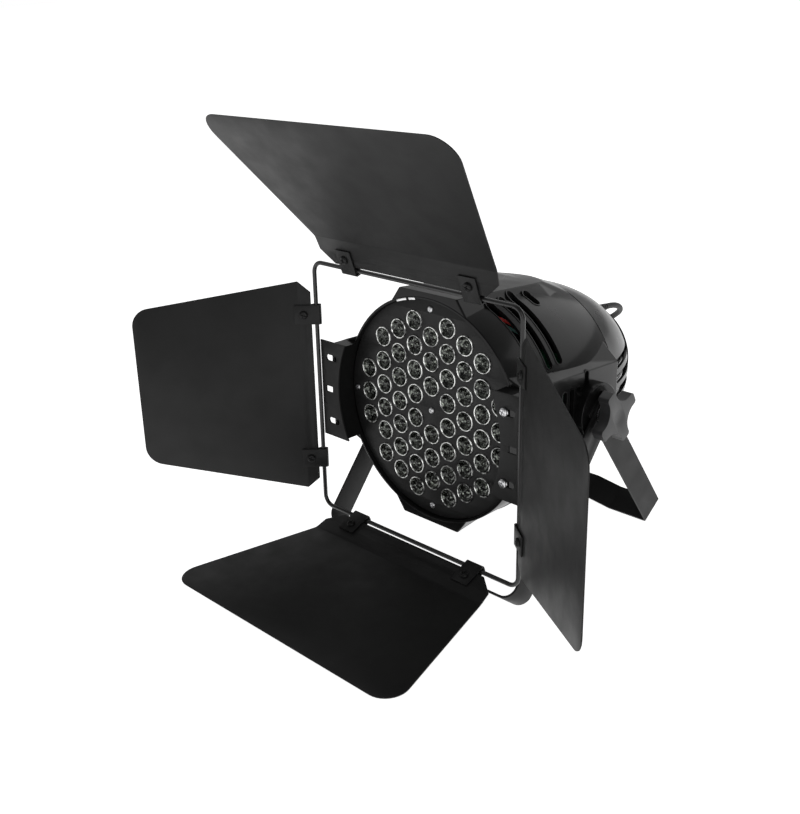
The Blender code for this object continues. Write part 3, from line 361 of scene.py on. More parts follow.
MATERIALS = {
    "black_gloss": coated_metal("housing_paint", (0.007,) * 3, 0.3, 650, 0.08, 0.22,
                                0.1),
    # painted shade: a near-black, dull paint for the faces inside the housing and for the heat
    # sink, darker than the outside to stand for the shade in there
    "shaded_inside": coated_metal("inside_shade_paint", (0.003,) * 3, 0.75, 500, 0.1),
    "black_satin": coated_metal("satin_paint", (0.009,) * 3, 0.45, 800, 0.15),
    "cover_paint": coated_metal("cover_plate_paint", (0.016,) * 3, 0.5, 900, 0.2),
    "black_powder": coated_metal("powder_coat", (0.012,) * 3, 0.5, 1100, 0.3),
    "rod_paint": coated_metal("rod_paint", (0.014,) * 3, 0.3, 900, 0.15, 0.4),
    "black_plastic": plastic("black_plastic", (0.01,) * 3, 0.5),
    "black_rubber": plastic("black_rubber", (0.011,) * 3, 0.6, 700, 0.3),
    "grey_plastic": plastic("knob_plastic", (0.03, 0.03, 0.031), 0.42, 1200, 0.3),
    "steel": bare_metal("zinc_steel", (0.66, 0.66, 0.67), 0.28),
    # painted highlight: the cover clips' steel is coloured near white, far brighter than the other
    # steel, to show as bright slits in the gap round the cover
    "clip_steel_painted_highlight": bare_metal("clip_steel_painted_highlight", (0.95,) * 3, 0.3),
    "aluminium": bare_metal("aluminium", (0.58, 0.59, 0.6), 0.36),
    # clear acrylic over a dark emitter: near-black and very glossy
    "lens": surface("lens_acrylic", (0.006, 0.007, 0.006, 1), (0.3, 0.33, 0.28, 1), (650, 3),
                    (0.03, 0.10), (0.5, 0.72), grain=(420, 0.35, 0.0004), Metallic=0.7,
                    Coat_Weight=0.6, Coat_Roughness=0.02),
    # the polished collar of a lens, coloured near white in broken patches: a painted highlight all
    # round each lens
    "collar": surface("lens_collar_painted_highlight", grey(0.1), (0.97, 0.98, 0.95, 1), (260, 3), (0.04, 0.16),
                      (0.4, 0.55), Metallic=0.55, Coat_Weight=1.0, Coat_Roughness=0.03),
    "board": board_material("led_board_white", (0.7, 0.71, 0.69, 1), (0.76, 0.77, 0.75, 1), 60),
    "green_board": board_material("green_board", (0.012, 0.11, 0.045, 1),
                                  (0.02, 0.16, 0.07, 1), 110),
    "red_wire": plastic("red_insulation", (0.5, 0.02, 0.015), 0.38, 300, 0.1),
    "green_wire": plastic("green_insulation", (0.005, 0.06, 0.05), 0.38, 300, 0.1),
    "display": surface("display_red", (0.05, 0.004, 0.004, 1), (0.075, 0.006, 0.006, 1), (60, 2),
                       (0.05, 0.09), Coat_Weight=1.0),
}


# ---------------------------------------------------------------- shape helpers

def add_object(name, data):
    obj = bpy.data.objects.new(name, data)
    bpy.context.scene.collection.objects.link(obj)
    return obj


def baked(obj):
    """Turns an object and its modifiers into a plain mesh object at the origin."""
    depsgraph = bpy.context.evaluated_depsgraph_get()
    mesh = bpy.data.meshes.new_from_object(obj.evaluated_get(depsgraph))
    mesh.transform(obj.matrix_world)
    clean = bmesh.new()
    clean.from_mesh(mesh)
    bmesh.ops.remove_doubles(clean, verts=clean.verts, dist=1e-6)
    clean.to_mesh(mesh)
    clean.free()
    result = add_object(obj.name, mesh)
    bpy.data.objects.remove(obj, do_unlink=True)
    return result


def boolean(target, tool, operation):
    modifier = target.modifiers.new("cut", "BOOLEAN")
    modifier.operation = operation
    modifier.object = tool
    bpy.context.view_layer.update()
    result = baked(target)
    bpy.data.objects.remove(tool, do_unlink=True)
    return result


def cut(target, *tools):
    for tool in tools:
        target = boolean(target, tool, "DIFFERENCE")
    return target


def join(target, *others):
    for other in others:
        target = boolean(target, other, "UNION")
    return target


def merged(first, *others):
    """Puts separate shells into one object without a Boolean."""
    shape = bmesh.new()
    for obj in (first, *others):
        shape.from_mesh(obj.data)
    for obj in others:
        bpy.data.objects.remove(obj, do_unlink=True)
    shape.to_mesh(first.data)
    shape.free()
    return first


def softened(obj, width, segments=2, angle=35):
    """Rounds the sharp edges of a solid."""
    modifier = obj.modifiers.new("round", "BEVEL")
    modifier.width = width
    modifier.segments = segments
    modifier.limit_method = "ANGLE"
    modifier.angle_limit = math.radians(angle)
    modifier.use_clamp_overlap = True
    bpy.context.view_layer.update()
    return baked(obj)


def placed(obj, matrix):
    obj.data.transform(matrix)
    return obj


def finish_piece(obj, name, material, body, nodes=(), place=HEAD, smooth=35):
    """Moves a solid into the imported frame, paints it and lets it stand for its CAD nodes."""
    obj.name = name
    obj.data.name = name
    if place is not None:
        obj.data.transform(place)
    marked = [face.index for face in obj.data.polygons if face.material_index == 1]
    obj.data.materials.clear()
    obj.data.materials.append(MATERIALS[material])
    # faces marked as looking inside get the darker paint, which is painted shade
    if marked:
        obj.data.materials.append(MATERIALS["shaded_inside"])
        for index in marked:
            obj.data.polygons[index].material_index = 1
    if smooth:
        obj.data.shade_smooth()
        obj.data.set_sharp_from_angle(angle=math.radians(smooth))
    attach(obj, body)
    if nodes:
        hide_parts(*nodes)
    return obj


def from_bmesh(name, shape):
    mesh = bpy.data.meshes.new(name)
    shape.to_mesh(mesh)
    shape.free()
    return add_object(name, mesh)


def box(low, high):
    low, high = Vector(low), Vector(high)
    size = high - low
    shape = bmesh.new()
    bmesh.ops.create_cube(shape, size=1, matrix=shift(*((low + high) / 2))
                          @ Matrix.Diagonal((*size, 1)))
    return from_bmesh("box", shape)


def rod(start, end, radius, sides=32, end_radius=None):
    """A cylinder or cone from start to end."""
    start, end = Vector(start), Vector(end)
    along = end - start
    turn = along.to_track_quat("Z", "X").to_matrix().to_4x4()
    shape = bmesh.new()
    bmesh.ops.create_cone(shape, cap_ends=True, segments=sides, radius1=radius,
                          radius2=radius if end_radius is None else end_radius,
                          depth=along.length,
                          matrix=Matrix.Translation((start + end) / 2) @ turn)
    return from_bmesh("rod", shape)


def turned(profile, steps=96, name="turned"):
    """Turns (radius, y) points about the optical axis; the outside runs rear to front."""
    shape = bmesh.new()
    verts = [shape.verts.new((radius, 0, y)) for radius, y in profile]
    closed = abs(profile[0][0]) > 1e-9
    for i in range(len(verts) - (0 if closed else 1)):
        shape.edges.new((verts[i], verts[(i + 1) % len(verts)]))
    obj = from_bmesh(name, shape)
    screw = obj.modifiers.new("turn", "SCREW")
    screw.steps = screw.render_steps = steps
    screw.use_merge_vertices = True
    screw.merge_threshold = 1e-6
    obj.matrix_world = turn_about("X", -90)
    bpy.context.view_layer.update()
    return baked(obj)


def sheet_prism(outline, half_thickness, holes=()):
    """A flat outline in local XY, thickened both ways along Z, as a closed mesh."""
    curve = bpy.data.curves.new("prism", "CURVE")
    curve.dimensions = "2D"
    curve.fill_mode = "BOTH"
    curve.extrude = half_thickness
    for points in (outline, *holes):
        spline = curve.splines.new("POLY")
        spline.points.add(len(points) - 1)
        for point, (x, y) in zip(spline.points, points):
            point.co = (x, y, 0, 1)
        spline.use_cyclic_u = True
    obj = add_object("prism", curve)
    bpy.context.view_layer.update()
    return baked(obj)


def circle(radius, sides, centre=(0, 0)):
    return [(centre[0] + radius * math.cos(2 * math.pi * i / sides),
             centre[1] + radius * math.sin(2 * math.pi * i / sides)) for i in range(sides)]


def arc(centre, radius, start, end, steps):
    """Points on an arc; angles in degrees."""
    angles = [math.radians(start + (end - start) * i / steps) for i in range(steps + 1)]
    return [(centre[0] + radius * math.cos(a), centre[1] + radius * math.sin(a)) for a in angles]


def polar(radius, angle):
    return (radius * math.cos(math.radians(angle)), radius * math.sin(math.radians(angle)))


def heading(start, end):
    """The direction from one point to another, in degrees."""
    return math.degrees(math.atan2(end[1] - start[1], end[0] - start[0]))


def rounded(corners, radii, steps=8):
    """Rounds the corners of a closed outline with arcs; a radius of 0 keeps the corner."""
    result = []
    count = len(corners)
    for i, (corner, radius) in enumerate(zip(corners, radii)):
        here = Vector(corner)
        to_last = (Vector(corners[i - 1]) - here).normalized()
        to_next = (Vector(corners[(i + 1) % count]) - here).normalized()
        if radius == 0:
            result.append(tuple(here))
            continue
        half = to_last.angle(to_next) / 2
        centre = here + (to_last + to_next).normalized() * (radius / math.sin(half))
        first = here + to_last * (radius / math.tan(half)) - centre
        last = here + to_next * (radius / math.tan(half)) - centre
        sweep = math.atan2(first.x * last.y - first.y * last.x, first.dot(last))
        for k in range(steps + 1):
            a = sweep * k / steps
            arm = Vector((first.x * math.cos(a) - first.y * math.sin(a),
                          first.x * math.sin(a) + first.y * math.cos(a)))
            result.append(tuple(centre + arm))
    return result


def ribbon(path, half_width):
    """The outline of a strip of even width that follows an open path in a plane."""
    points = [Vector(p) for p in path]
    left, right = [], []
    for i, here in enumerate(points):
        before = (here - points[i - 1]).normalized() if i else None
        after = (points[i + 1] - here).normalized() if i + 1 < len(points) else None
        before, after = before or after, after or before
        along = (before + after).normalized()
        side = Vector((-along.y, along.x)) * (half_width / max(0.2, along.dot(after)))
        left.append(tuple(here + side))
        right.append(tuple(here - side))
    return left + right[::-1]


def smooth_route(points, spacing):
    """Evenly spaced points on a Catmull-Rom curve through the given points."""
    ghost = [Vector(p) for p in points]
    ghost = [2 * ghost[0] - ghost[1], *ghost, 2 * ghost[-1] - ghost[-2]]
    fine = []
    for a, b, c, d in zip(ghost, ghost[1:], ghost[2:], ghost[3:]):
        for k in range(40):
            t = k / 40
            fine.append(0.5 * (2 * b + (c - a) * t + (2 * a - 5 * b + 4 * c - d) * t ** 2
                               + (3 * b - a - 3 * c + d) * t ** 3))
    fine.append(Vector(points[-1]))
    travelled = [0.0]
    for a, b in zip(fine, fine[1:]):
        travelled.append(travelled[-1] + (b - a).length)
    count = max(2, round(travelled[-1] / spacing))
    result = []
    k = 0
    for i in range(count + 1):
        target = travelled[-1] * i / count
        while k < len(fine) - 2 and travelled[k + 1] < target:
            k += 1
        step = travelled[k + 1] - travelled[k]
        result.append(fine[k].lerp(fine[k + 1], (target - travelled[k]) / step))
    return result


def tube(name, points, radius, resolution=5, cyclic=False, kind="POLY"):
    """A round wire, rail or cord as a curve with a bevel."""
    curve = bpy.data.curves.new(name, "CURVE")
    curve.dimensions = "3D"
    curve.bevel_depth = radius
    curve.bevel_resolution = resolution
    curve.use_fill_caps = not cyclic
    spline = curve.splines.new(kind)
    spline.points.add(len(points) - 1)
    for point, place in zip(spline.points, points):
        point.co = (*place, 1)
    spline.use_cyclic_u = cyclic
    spline.use_smooth = True
    return add_object(name, curve)


def finish_curve(obj, material, slot, *nodes):
    """Paints a wire or cord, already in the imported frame, that rides on the head."""
    obj.data.materials.append(MATERIALS[material])
    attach(obj, "head")
    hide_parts(*nodes)


# ---------------------------------------------------------------- housing

def body_radius(y):
    t = max(0.0, (y - TAPER_START) / (TAPER_END - TAPER_START))
    return BODY_RADIUS * (1 - t ** TAPER_POWER) ** (1 / TAPER_POWER)


def skin_rings(shape, rings):
    """Closes a loft: four sides between one ring and the next, and a cap at each end."""
    for a, b in zip(rings, rings[1:]):
        for i in range(4):
            j = (i + 1) % 4
            shape.faces.new((a[i], a[j], b[j], b[i]))
    shape.faces.new(rings[0][::-1])
    shape.faces.new(rings[-1])


def lobe(sections, angle):
    """A loft of trapezoids (y, half width, height, base half width, base height)."""
    shape = bmesh.new()
    rings = []
    for y, half, top, base_half, base in sections:
        corners = ((-base_half, base), (-half, top), (half, top), (base_half, base))
        rings.append([shape.verts.new((w, y, r)) for w, r in corners])
    skin_rings(shape, rings)
    bmesh.ops.triangulate(shape, faces=shape.faces)
    bmesh.ops.recalc_face_normals(shape, faces=shape.faces)
    return placed(from_bmesh("lobe", shape), turn_about("Y", angle))


# each row: y, half width and height of the face, half width and height of the base
TOP_LOBE = ((BODY_FRONT + 0.3 * MM, 33.5 * MM, 107 * MM, 50 * MM, 84.7 * MM),
            mm(110, 29, 98.4, 52, 80.3),
            (SEAM - 0.4 * MM, 26.4 * MM, 95.2 * MM, 43.4 * MM, 75.6 * MM))
SIDE_LOBE = ((BODY_FRONT + 0.3 * MM, 44.4 * MM, 107.8 * MM, 56.7 * MM, 76 * MM),
             mm(142, 31.6, 95.8, 59, 64))


def lobe_sections(rows, inset):
    result = []
    for i, (y, *sizes) in enumerate(rows):
        if i == 0 and inset:
            y = BODY_FRONT + BODY_WALL + 1 * MM
        elif i == len(rows) - 1 and rows is SIDE_LOBE:
            y -= inset
        result.append((y, *(size - inset for size in sizes)))
    return result


def lobe_cone(inset):
    """The cone that the top and bottom lobes run out on, down to the seam."""
    wide, narrow = 118 * MM - inset, 90.8 * MM - inset
    return turned([(0, SEAM), (narrow, SEAM), (wide, 75.5 * MM), (wide, -12 * MM),
                   mm(0, -12)], steps=96, name="lobe_cone")


def body_form(inset, front, rear, edge):
    """The housing's turned body with its four lobes, drawn in by an inset."""
    stops = [rear] + [y * MM for y in range(140, 24, -10)]
    outline = [(0, rear)]
    outline += [(body_radius(y) - inset, y) for y in stops]
    if edge:
        outline += [(BODY_RADIUS, front + 1 * MM)]
        outline += [(BODY_RADIUS - 1 * MM + x, front + 1 * MM - y)
                    for x, y in arc((0, 0), 1 * MM, 18, 90, 4)]
    else:
        outline += [(BODY_RADIUS - inset, front)]
    outline += [(0, front)]
    form = turned(outline, steps=128, name="body")
    for angle in (0, 180):
        run = boolean(lobe(lobe_sections(TOP_LOBE, inset), angle), lobe_cone(inset),
                      "INTERSECT")
        form = join(form, softened(run, edge, 3, 8) if edge else run)
    for angle in (90, 270):
        side = lobe(lobe_sections(SIDE_LOBE, inset), angle)
        form = join(form, softened(side, edge, 3, 8) if edge else side)
    return form


CUTTER_RADIUS = 115 * MM                # beyond every part of the body


def arc_slot(y_low, y_high, start, end, inner, follow=None):
    """A round-ended band round the body: a slot's cutter, or its raised lip if it follows."""
    middle, half = (y_low + y_high) / 2, (y_high - y_low) / 2
    end_angle = math.degrees(half / BODY_RADIUS)
    rows = []
    for k in range(6):
        a = math.radians(90 * k / 5)
        rows.append((start + end_angle * (1 - math.cos(a)), half * max(0.2, math.sin(a))))
    rows += [(start + end_angle + (end - start - 2 * end_angle) * k / 12, half)
             for k in range(1, 12)]
    rows += [(start + end - angle, width) for angle, width in rows[5::-1]]
    shape = bmesh.new()
    rings = []
    for angle, width in rows:
        a = math.radians(angle)
        profile = []
        for y in (middle + width, middle - width):
            profile.append((follow(a, y) if follow else CUTTER_RADIUS, y))
        profile += [(inner, middle - width), (inner, middle + width)]
        rings.append([shape.verts.new((r * math.cos(a), y, r * math.sin(a)))
                      for r, y in profile])
    skin_rings(shape, rings)
    bmesh.ops.recalc_face_normals(shape, faces=shape.faces)
    return from_bmesh("slot", shape)


def flank_radius(angle, y):
    """The housing's radius at an angle between two lobes: the drum or a top lobe's flank."""
    x, z = abs(math.cos(angle)), abs(math.sin(angle))
    front, rear = TOP_LOBE[:2]
    t = (y - front[0]) / (rear[0] - front[0])
    half, top, base_half, base = (a + (b - a) * t for a, b in zip(front[1:], rear[1:]))
    fall = (top - base) / (base_half - half)
    flank = (top + fall * half) / (z + fall * x)
    return max(body_radius(y), flank if flank * x > half else top / z)


# first and last y, in millimetres, and first and last angle, in degrees, of each row of slots
SLOT_ROWS = ((27, 35.5, 29, 70), (44.5, 52, 27, 70), (59, 67, 27.5, 72),
             (79, 87.5, 60, 70.5))


def around(start, end):
    return ((start, end), (180 - end, 180 - start), (180 + start, 180 + end),
            (360 - end, 360 - start))


def vent_slots(grow=0.0, inner=84 * MM, lip=0.0):
    """The slots' cutters, or with a lip the raised bands that they are cut through."""
    bands = []
    spread = math.degrees(grow / BODY_RADIUS)
    follow = (lambda a, y: flank_radius(a, y) + lip) if lip else None
    for y_low, y_high, start, end in SLOT_ROWS:
        for low, high in around(start, end):
            bands.append(arc_slot(y_low * MM - grow, y_high * MM + grow, low - spread,
                                  high + spread, inner, follow))
    return bands


# first and last y and first and last z of each upright slot, in millimetres
SIDE_VENTS = ((51, 56, -27, 27), (62, 67, -27, 27), (73, 78, -26, 26), (85, 90, 20, 37),
              (85, 90, -37, -20))


LOBE_FALL = 11.8                       # how far a side lobe's face draws in, in millimetres
LOBE_RUN = 144.5                       # over this length


def lobe_face(y):
    """How far out a side lobe's flat face lies."""
    return (107.8 - LOBE_FALL * (y / MM + 4.5) / LOBE_RUN) * MM


def side_vents(grow=0.0, lip=0.0):
    """Upright slots in the side lobes, or the raised lips round them."""
    bands = []
    for side in (-1, 1):
        for y_low, y_high, z_low, z_high in SIDE_VENTS:
            low, high = y_low * MM - grow, y_high * MM + grow
            radius = (high - low) / 2 - 0.05 * MM
            outline = rounded([(low, z_low * MM - grow), (high, z_low * MM - grow),
                               (high, z_high * MM + grow), (low, z_high * MM + grow)],
                              [radius] * 4, 5)
            middle = (low + high) / 2
            depth = 2.2 * MM if lip else 9 * MM
            face = lobe_face(middle)
            band = sheet_prism(outline, depth / 2)
            lean = Matrix.Rotation(math.atan2(-LOBE_FALL, LOBE_RUN), 4, "Z")
            out = face + lip - depth / 2 if lip else face
            placed(band, shift(out, middle, 0) @ lean
                   @ shift(0, -middle, 0)
                   @ ON_EDGE)
            if side < 0:
                placed(band, Matrix.Scale(-1, 4, (1, 0, 0)))
                band.data.flip_normals()
            bands.append(band)
    return bands


def side_lug(side):
    half_angle = math.degrees(math.asin(LUG_HALF_HEIGHT / LUG_INNER_RADIUS))
    inner = arc((0, 0), LUG_INNER_RADIUS, half_angle, -half_angle, 24)
    outline = inner + [(LUG_OUTER, -LUG_HALF_HEIGHT), (LUG_OUTER, LUG_HALF_HEIGHT)]
    lug_front = PLATE_Y[1] + GAP
    lug_rear = BODY_FRONT + 1.5 * MM
    lug = sheet_prism(outline, (lug_rear - lug_front) / 2)
    placed(lug, shift(0, (lug_front + lug_rear) / 2, 0)
           @ turn_about("X", 90))
    if side < 0:
        placed(lug, turn_about("Y", 180))
    return lug


def paint_inside_shade(shell, rear):
    """Marks the faces that look into the housing for the darker, duller paint inside, which is
    painted shade.
    """
    for face in shell.data.polygons:
        centre, normal = face.center, face.normal
        inward = -(centre.x * normal.x + centre.z * normal.z)
        radius = math.hypot(centre.x, centre.z)
        if inward > 0.3 * radius and centre.y < rear - 0.5 * MM:
            face.material_index = 1


def make_housing():
    outer = body_form(0, BODY_FRONT, SEAM, 1.2 * MM)
    outer = join(outer, *vent_slots(1.1 * MM, 99 * MM, 0.5 * MM), *side_vents(1 * MM, 0.6 * MM))
    outer = cut(outer, *vent_slots(), *side_vents())
    for side in (-1, 1):
        boss = rod((side * 90 * MM, PIVOT_Y, 0), (side * BOSS_END, PIVOT_Y, 0), BOSS_RADIUS, 64)
        outer = join(outer, softened(boss, 0.8 * MM, 3), side_lug(side))
    shell = cut(outer, body_form(BODY_WALL, BODY_FRONT + 6 * MM, SEAM + 4 * MM, 0))
    shell = cut(shell, rod((0, BODY_FRONT - 1 * MM, 0), mm(0, 10, 0), MOUTH_RADIUS, 128))
    for side in (-1, 1):
        shell = cut(shell, rod((side * 80 * MM, PIVOT_Y, 0), (side * 120 * MM, PIVOT_Y, 0),
                               STUD_RADIUS + GAP, 32))
        for z in (-PLATE_SCREW[1], PLATE_SCREW[1]):
            shell = cut(shell, rod((side * PLATE_SCREW[0], -30 * MM, z),
                                   (side * PLATE_SCREW[0], -9 * MM, z), 2.3 * MM, 20))
    # painted shade on the faces that look into the housing
    paint_inside_shade(shell, SEAM)
    finish_piece(shell, "housing", "black_gloss", "head", ["housing_shell"], smooth=9)


def louvre(side, z):
    """A curved blade inside the cap, behind one of its side slots."""
    stops = (152, 165, 178, 190, 202, 210, 218)
    outer = [(body_radius(y * MM) - BODY_WALL - (0 if y in (152, 218) else 3 * MM), y * MM)
             for y in stops]
    profile = outer[::-1] + [(r - 1.2 * MM, y) for r, y in outer]
    blade = turned(profile, steps=64, name="louvre")
    near, far = sorted((side * 20 * MM, side * 110 * MM))
    keep = box((near, 150 * MM, z - 6 * MM), (far, 220 * MM, z + 6 * MM))
    return boolean(blade, keep, "INTERSECT")


def make_rear_cap():
    start = SEAM + GAP
    outside = [(REAR_FACE_RADIUS - 1 * MM, REAR_FACE), (REAR_FACE_RADIUS + 1.6 * MM,
                                                        REAR_FACE - 0.7 * MM),
               (REAR_FACE_RADIUS + 3.6 * MM, REAR_FACE - 2.2 * MM)]
    outside += [(body_radius(y * MM), y * MM) for y in range(226, 148, -6)]
    outside += [(body_radius(start), start + 0.8 * MM),
                (body_radius(start) - 0.7 * MM, start)]
    inside = [(body_radius(y) - BODY_WALL, y) for y in
              (start, 160 * MM, 175 * MM, 190 * MM, 205 * MM, 216 * MM)]
    inside.append((REAR_FACE_RADIUS - BODY_WALL, REAR_FACE - BODY_WALL))
    profile = [(0, REAR_FACE), *outside, *inside, (0, REAR_FACE - BODY_WALL)]
    cap = turned(profile, steps=128, name="rear_cap")
    cap = cut(cap, rod((0, 220 * MM, PANEL_Z), (0, 240 * MM, PANEL_Z), PANEL_OPENING, 96))
    for side in (-1, 1):
        for k in range(4):
            z = (21 - 13 * k) * MM
            near, far = sorted((side * 30 * MM, side * 100 * MM))
            slot = box((near, 154 * MM, z - 4 * MM), (far, 214 * MM, z + 4 * MM))
            cap = cut(cap, softened(slot, 2.5 * MM, 4))
            cap = join(cap, louvre(side, z))
    # painted shade on the faces that look into the cap
    paint_inside_shade(cap, REAR_FACE)
    finish_piece(cap, "rear_cap_shell", "black_gloss", "head", ["rear_cap"], smooth=12)


# ---------------------------------------------------------------- LED face and insides

def led_places():
    places = []
    for column in range(-4, 5):
        x = column * LED_PITCH * math.sqrt(3) / 2
        rows = 9 - abs(column)
        for row in range(rows):
            z = (row - (rows - 1) / 2) * LED_PITCH
            distance = math.hypot(x, z)
            if 0.5 * LED_PITCH < distance < 3.9 * LED_PITCH:
                places.append((x, z))
    return places


def face_plate(outline, y, thickness, holes=()):
    """A flat plate standing in the head's XZ plane with its front face at y."""
    plate = sheet_prism(outline, thickness / 2, holes)
    return placed(plate, shift(0, y + thickness / 2, 0)
                  @ turn_about("X", 90))


def pan_head_screw(radius, height, recess, sides=32):
    """A screw head facing local -Y with its back at y = 0 and a cross recess."""
    profile = [(0, 0), (radius, 0)]
    profile += [(radius * math.cos(math.radians(a)) * 0.25 + radius * 0.75 * math.cos(
        math.radians(a * 0.55)), -height * (0.25 + 0.75 * math.sin(math.radians(a))))
        for a in (0, 18, 36, 54, 72, 90)]
    profile[-1] = (radius * 0.3, -height)
    profile.append((0, -height))
    head = turned(profile, steps=sides, name="screw_head")
    for angle in (0, 90):
        arm = box((-recess, -height * 2, -recess * 0.2), (recess, -height * 0.4, recess * 0.2))
        head = cut(head, placed(arm, turn_about("Y", angle + 20)))
    return head


def lens_shapes():
    """One lens: a polished collar, and a dished reflector with a domed middle."""
    r = LENS_RADIUS
    steps = ((-1.2, 2.3), (-0.2, 2.3), (-0.2, -0.7), (-0.45, -0.95), (-0.9, -0.95), (-1.2, -0.6))
    collar = turned([(r + dr * MM, y * MM) for dr, y in steps], steps=32, name="collar")
    shape = bmesh.new()
    facets = 16
    # radius, y, and how far round each ring is turned, in facets
    rings = [(r - 1.25 * MM, -0.3 * MM, 0), (6.9 * MM, 0.8 * MM, 0.5), (5.4 * MM, 1.6 * MM, 0),
             (3.9 * MM, 2.0 * MM, 0.5), (2.9 * MM, 1.2 * MM, 0), (2.2 * MM, 0.3 * MM, 0.5),
             (1.1 * MM, -0.2 * MM, 0)]
    verts = []
    for radius, y, shift in rings:
        verts.append([shape.verts.new((radius * math.cos(2 * math.pi * (k + shift) / facets), y,
                                       radius * math.sin(2 * math.pi * (k + shift) / facets)))
                      for k in range(facets)])
    for row, (a, b) in enumerate(zip(verts, verts[1:])):
        shifted = rings[row][2] > 0
        for k in range(facets):
            n = (k + 1) % facets
            if shifted:
                shape.faces.new((a[k], a[n], b[n]))
                shape.faces.new((a[k], b[n], b[k]))
            else:
                shape.faces.new((a[k], a[n], b[k]))
                shape.faces.new((a[n], b[n], b[k]))
    shape.faces.new(verts[-1][::-1])
    back = [shape.verts.new((x, 2.3 * MM, z)) for x, z in circle(r - 1.25 * MM, facets)]
    for k in range(facets):
        n = (k + 1) % facets
        shape.faces.new((verts[0][k], back[k], back[n], verts[0][n]))
    shape.faces.new(back)
    bmesh.ops.recalc_face_normals(shape, faces=shape.faces)
    return collar, from_bmesh("dish", shape)


def repeated(obj, places, name):
    """One mesh object with a copy of obj's mesh at each (x, z) place."""
    shape = bmesh.new()
    for i, (x, z) in enumerate(places):
        copy = obj.data.copy()
        copy.transform(shift(x, 0, z)
                       @ turn_about("Y", 67 * i))
        shape.from_mesh(copy)
        bpy.data.meshes.remove(copy)
    bpy.data.objects.remove(obj, do_unlink=True)
    return from_bmesh(name, shape)


def make_led_face():
    places = led_places()
    holes = [circle(LENS_RADIUS + 0.15 * MM, 40, p) for p in places]
    cover = softened(face_plate(circle(COVER_RADIUS, 128), 0, COVER_THICKNESS, holes),
                     0.25 * MM, 2)
    finish_piece(cover, "cover_plate", "cover_paint", "head", ["led_cover_plate"])
    collar, dish = lens_shapes()
    carrier = face_plate(circle(98 * MM, 96), 2.4 * MM, 2 * MM)
    collars = repeated(collar, places, "collars")
    finish_piece(merged(carrier, repeated(dish, places, "dishes")), "lenses", "lens", "head",
                 ["lens_array"], smooth=0)
    # the collars carry the painted highlight round each lens
    finish_piece(collars, "lens_collars", "collar", "head")
    # two spring clips in the gap round the cover plate, their steel coloured near white: a painted
    # highlight in that gap
    clips = []
    for low, high in ((103.5, 110.5), (97.5, 102)):
        inner = arc((0, 0), 99.9 * MM, low, high, 8)
        outer = arc((0, 0), 101.9 * MM, high, low, 8)
        clips.append(softened(face_plate(inner + outer, BODY_FRONT - 0.9 * MM, 0.6 * MM),
                              0.2 * MM))
    finish_piece(merged(*clips), "cover_clips", "clip_steel_painted_highlight", "head")
    spots = [(0, 0), mm(0, 92), mm(0, -92), mm(94.5, 0), mm(-94.5, 0)]
    screw = pan_head_screw(2.9 * MM, 1.5 * MM, 1.9 * MM)
    screws = placed(repeated(screw, spots, "screws"), shift(0, -0.05 * MM, 0))
    finish_piece(screws, "cover_screws", "steel", "head")


def make_insides():
    """The insides keep their CAD solids, seen only through the vents."""
    # the heat sink takes the near-black painted shade of the housing's inside
    for node, material in (("led_board", "board"), ("heat_sink", "shaded_inside"),
                           ("fan_frame", "black_plastic"), ("fan_rotor", "black_plastic"),
                           ("power_supply", "green_board")):
        paint_node(node, material)
    red = [(38, 10.5, 79), (41, 18, 86), (42, 28, 88), (45, 37, 84), (50, 48, 77),
           (53, 62, 64), (52, 76, 45), (46, 86, 30)]
    green = [(46, 10.5, 76), (50, 18, 81), (51, 29, 82), (54, 39, 77), (58, 51, 69),
             (60, 63, 55), (58, 76, 36), (52, 86, 20)]
    for name, points in (("red_wire", red), ("green_wire", green)):
        route = [HEAD @ p for p in smooth_route([Vector(p) * MM for p in points], 3 * MM)]
        finish_curve(tube(name + "_loom", route, 1.4 * MM), name, name,
                     "wire_" + name.split("_")[0])


def paint_node(node, material):
    """Gives a carried-over CAD node a finished material."""
    obj = frame["nodes"][node]
    obj.data.materials.clear()
    obj.data.materials.append(MATERIALS[material])


# ---------------------------------------------------------------- rear panel

def make_socket(name, x, face, female):
    """A round three-pin data socket: a flange on the panel and a barrel behind it."""
    floor = face - SOCKET_DEPTH
    flange = softened(rod((x, face, SOCKET_Z), (x, face + 4 * MM, SOCKET_Z), SOCKET_RADIUS, 64),
                      0.6 * MM, 3)
    socket = join(flange, rod((x, floor - 1.5 * MM, SOCKET_Z), (x, face + 1 * MM, SOCKET_Z),
                              BARREL_RADIUS, 64))
    mouth = face + 3.2 * MM if female else floor
    socket = cut(socket, rod((x, mouth, SOCKET_Z), (x, face + 6 * MM, SOCKET_Z), 7.6 * MM, 64))
    pins = []
    for k in range(3):
        px, pz = polar(4 * MM, 90 + 120 * k)
        px, pz = px + x, pz + SOCKET_Z
        if female:
            socket = cut(socket, rod((px, face - 8 * MM, pz), (px, face + 6 * MM, pz),
                                     1.4 * MM, 24))
        else:
            pin = rod((px, floor - 0.8 * MM, pz), (px, face - 2 * MM, pz), 1.1 * MM, 24)
            pins.append(softened(pin, 0.4 * MM, 3))
    if pins:
        finish_piece(merged(*pins), name + "_pins", "steel", "head")
    else:
        key = rod((x - 8.4 * MM, face + 3.4 * MM, SOCKET_Z),
                  (x - 8.4 * MM, face + 6 * MM, SOCKET_Z), 1.5 * MM, 24)
        socket = cut(socket, key)
    finish_piece(socket, name + "_shell", "black_plastic", "head", [name])


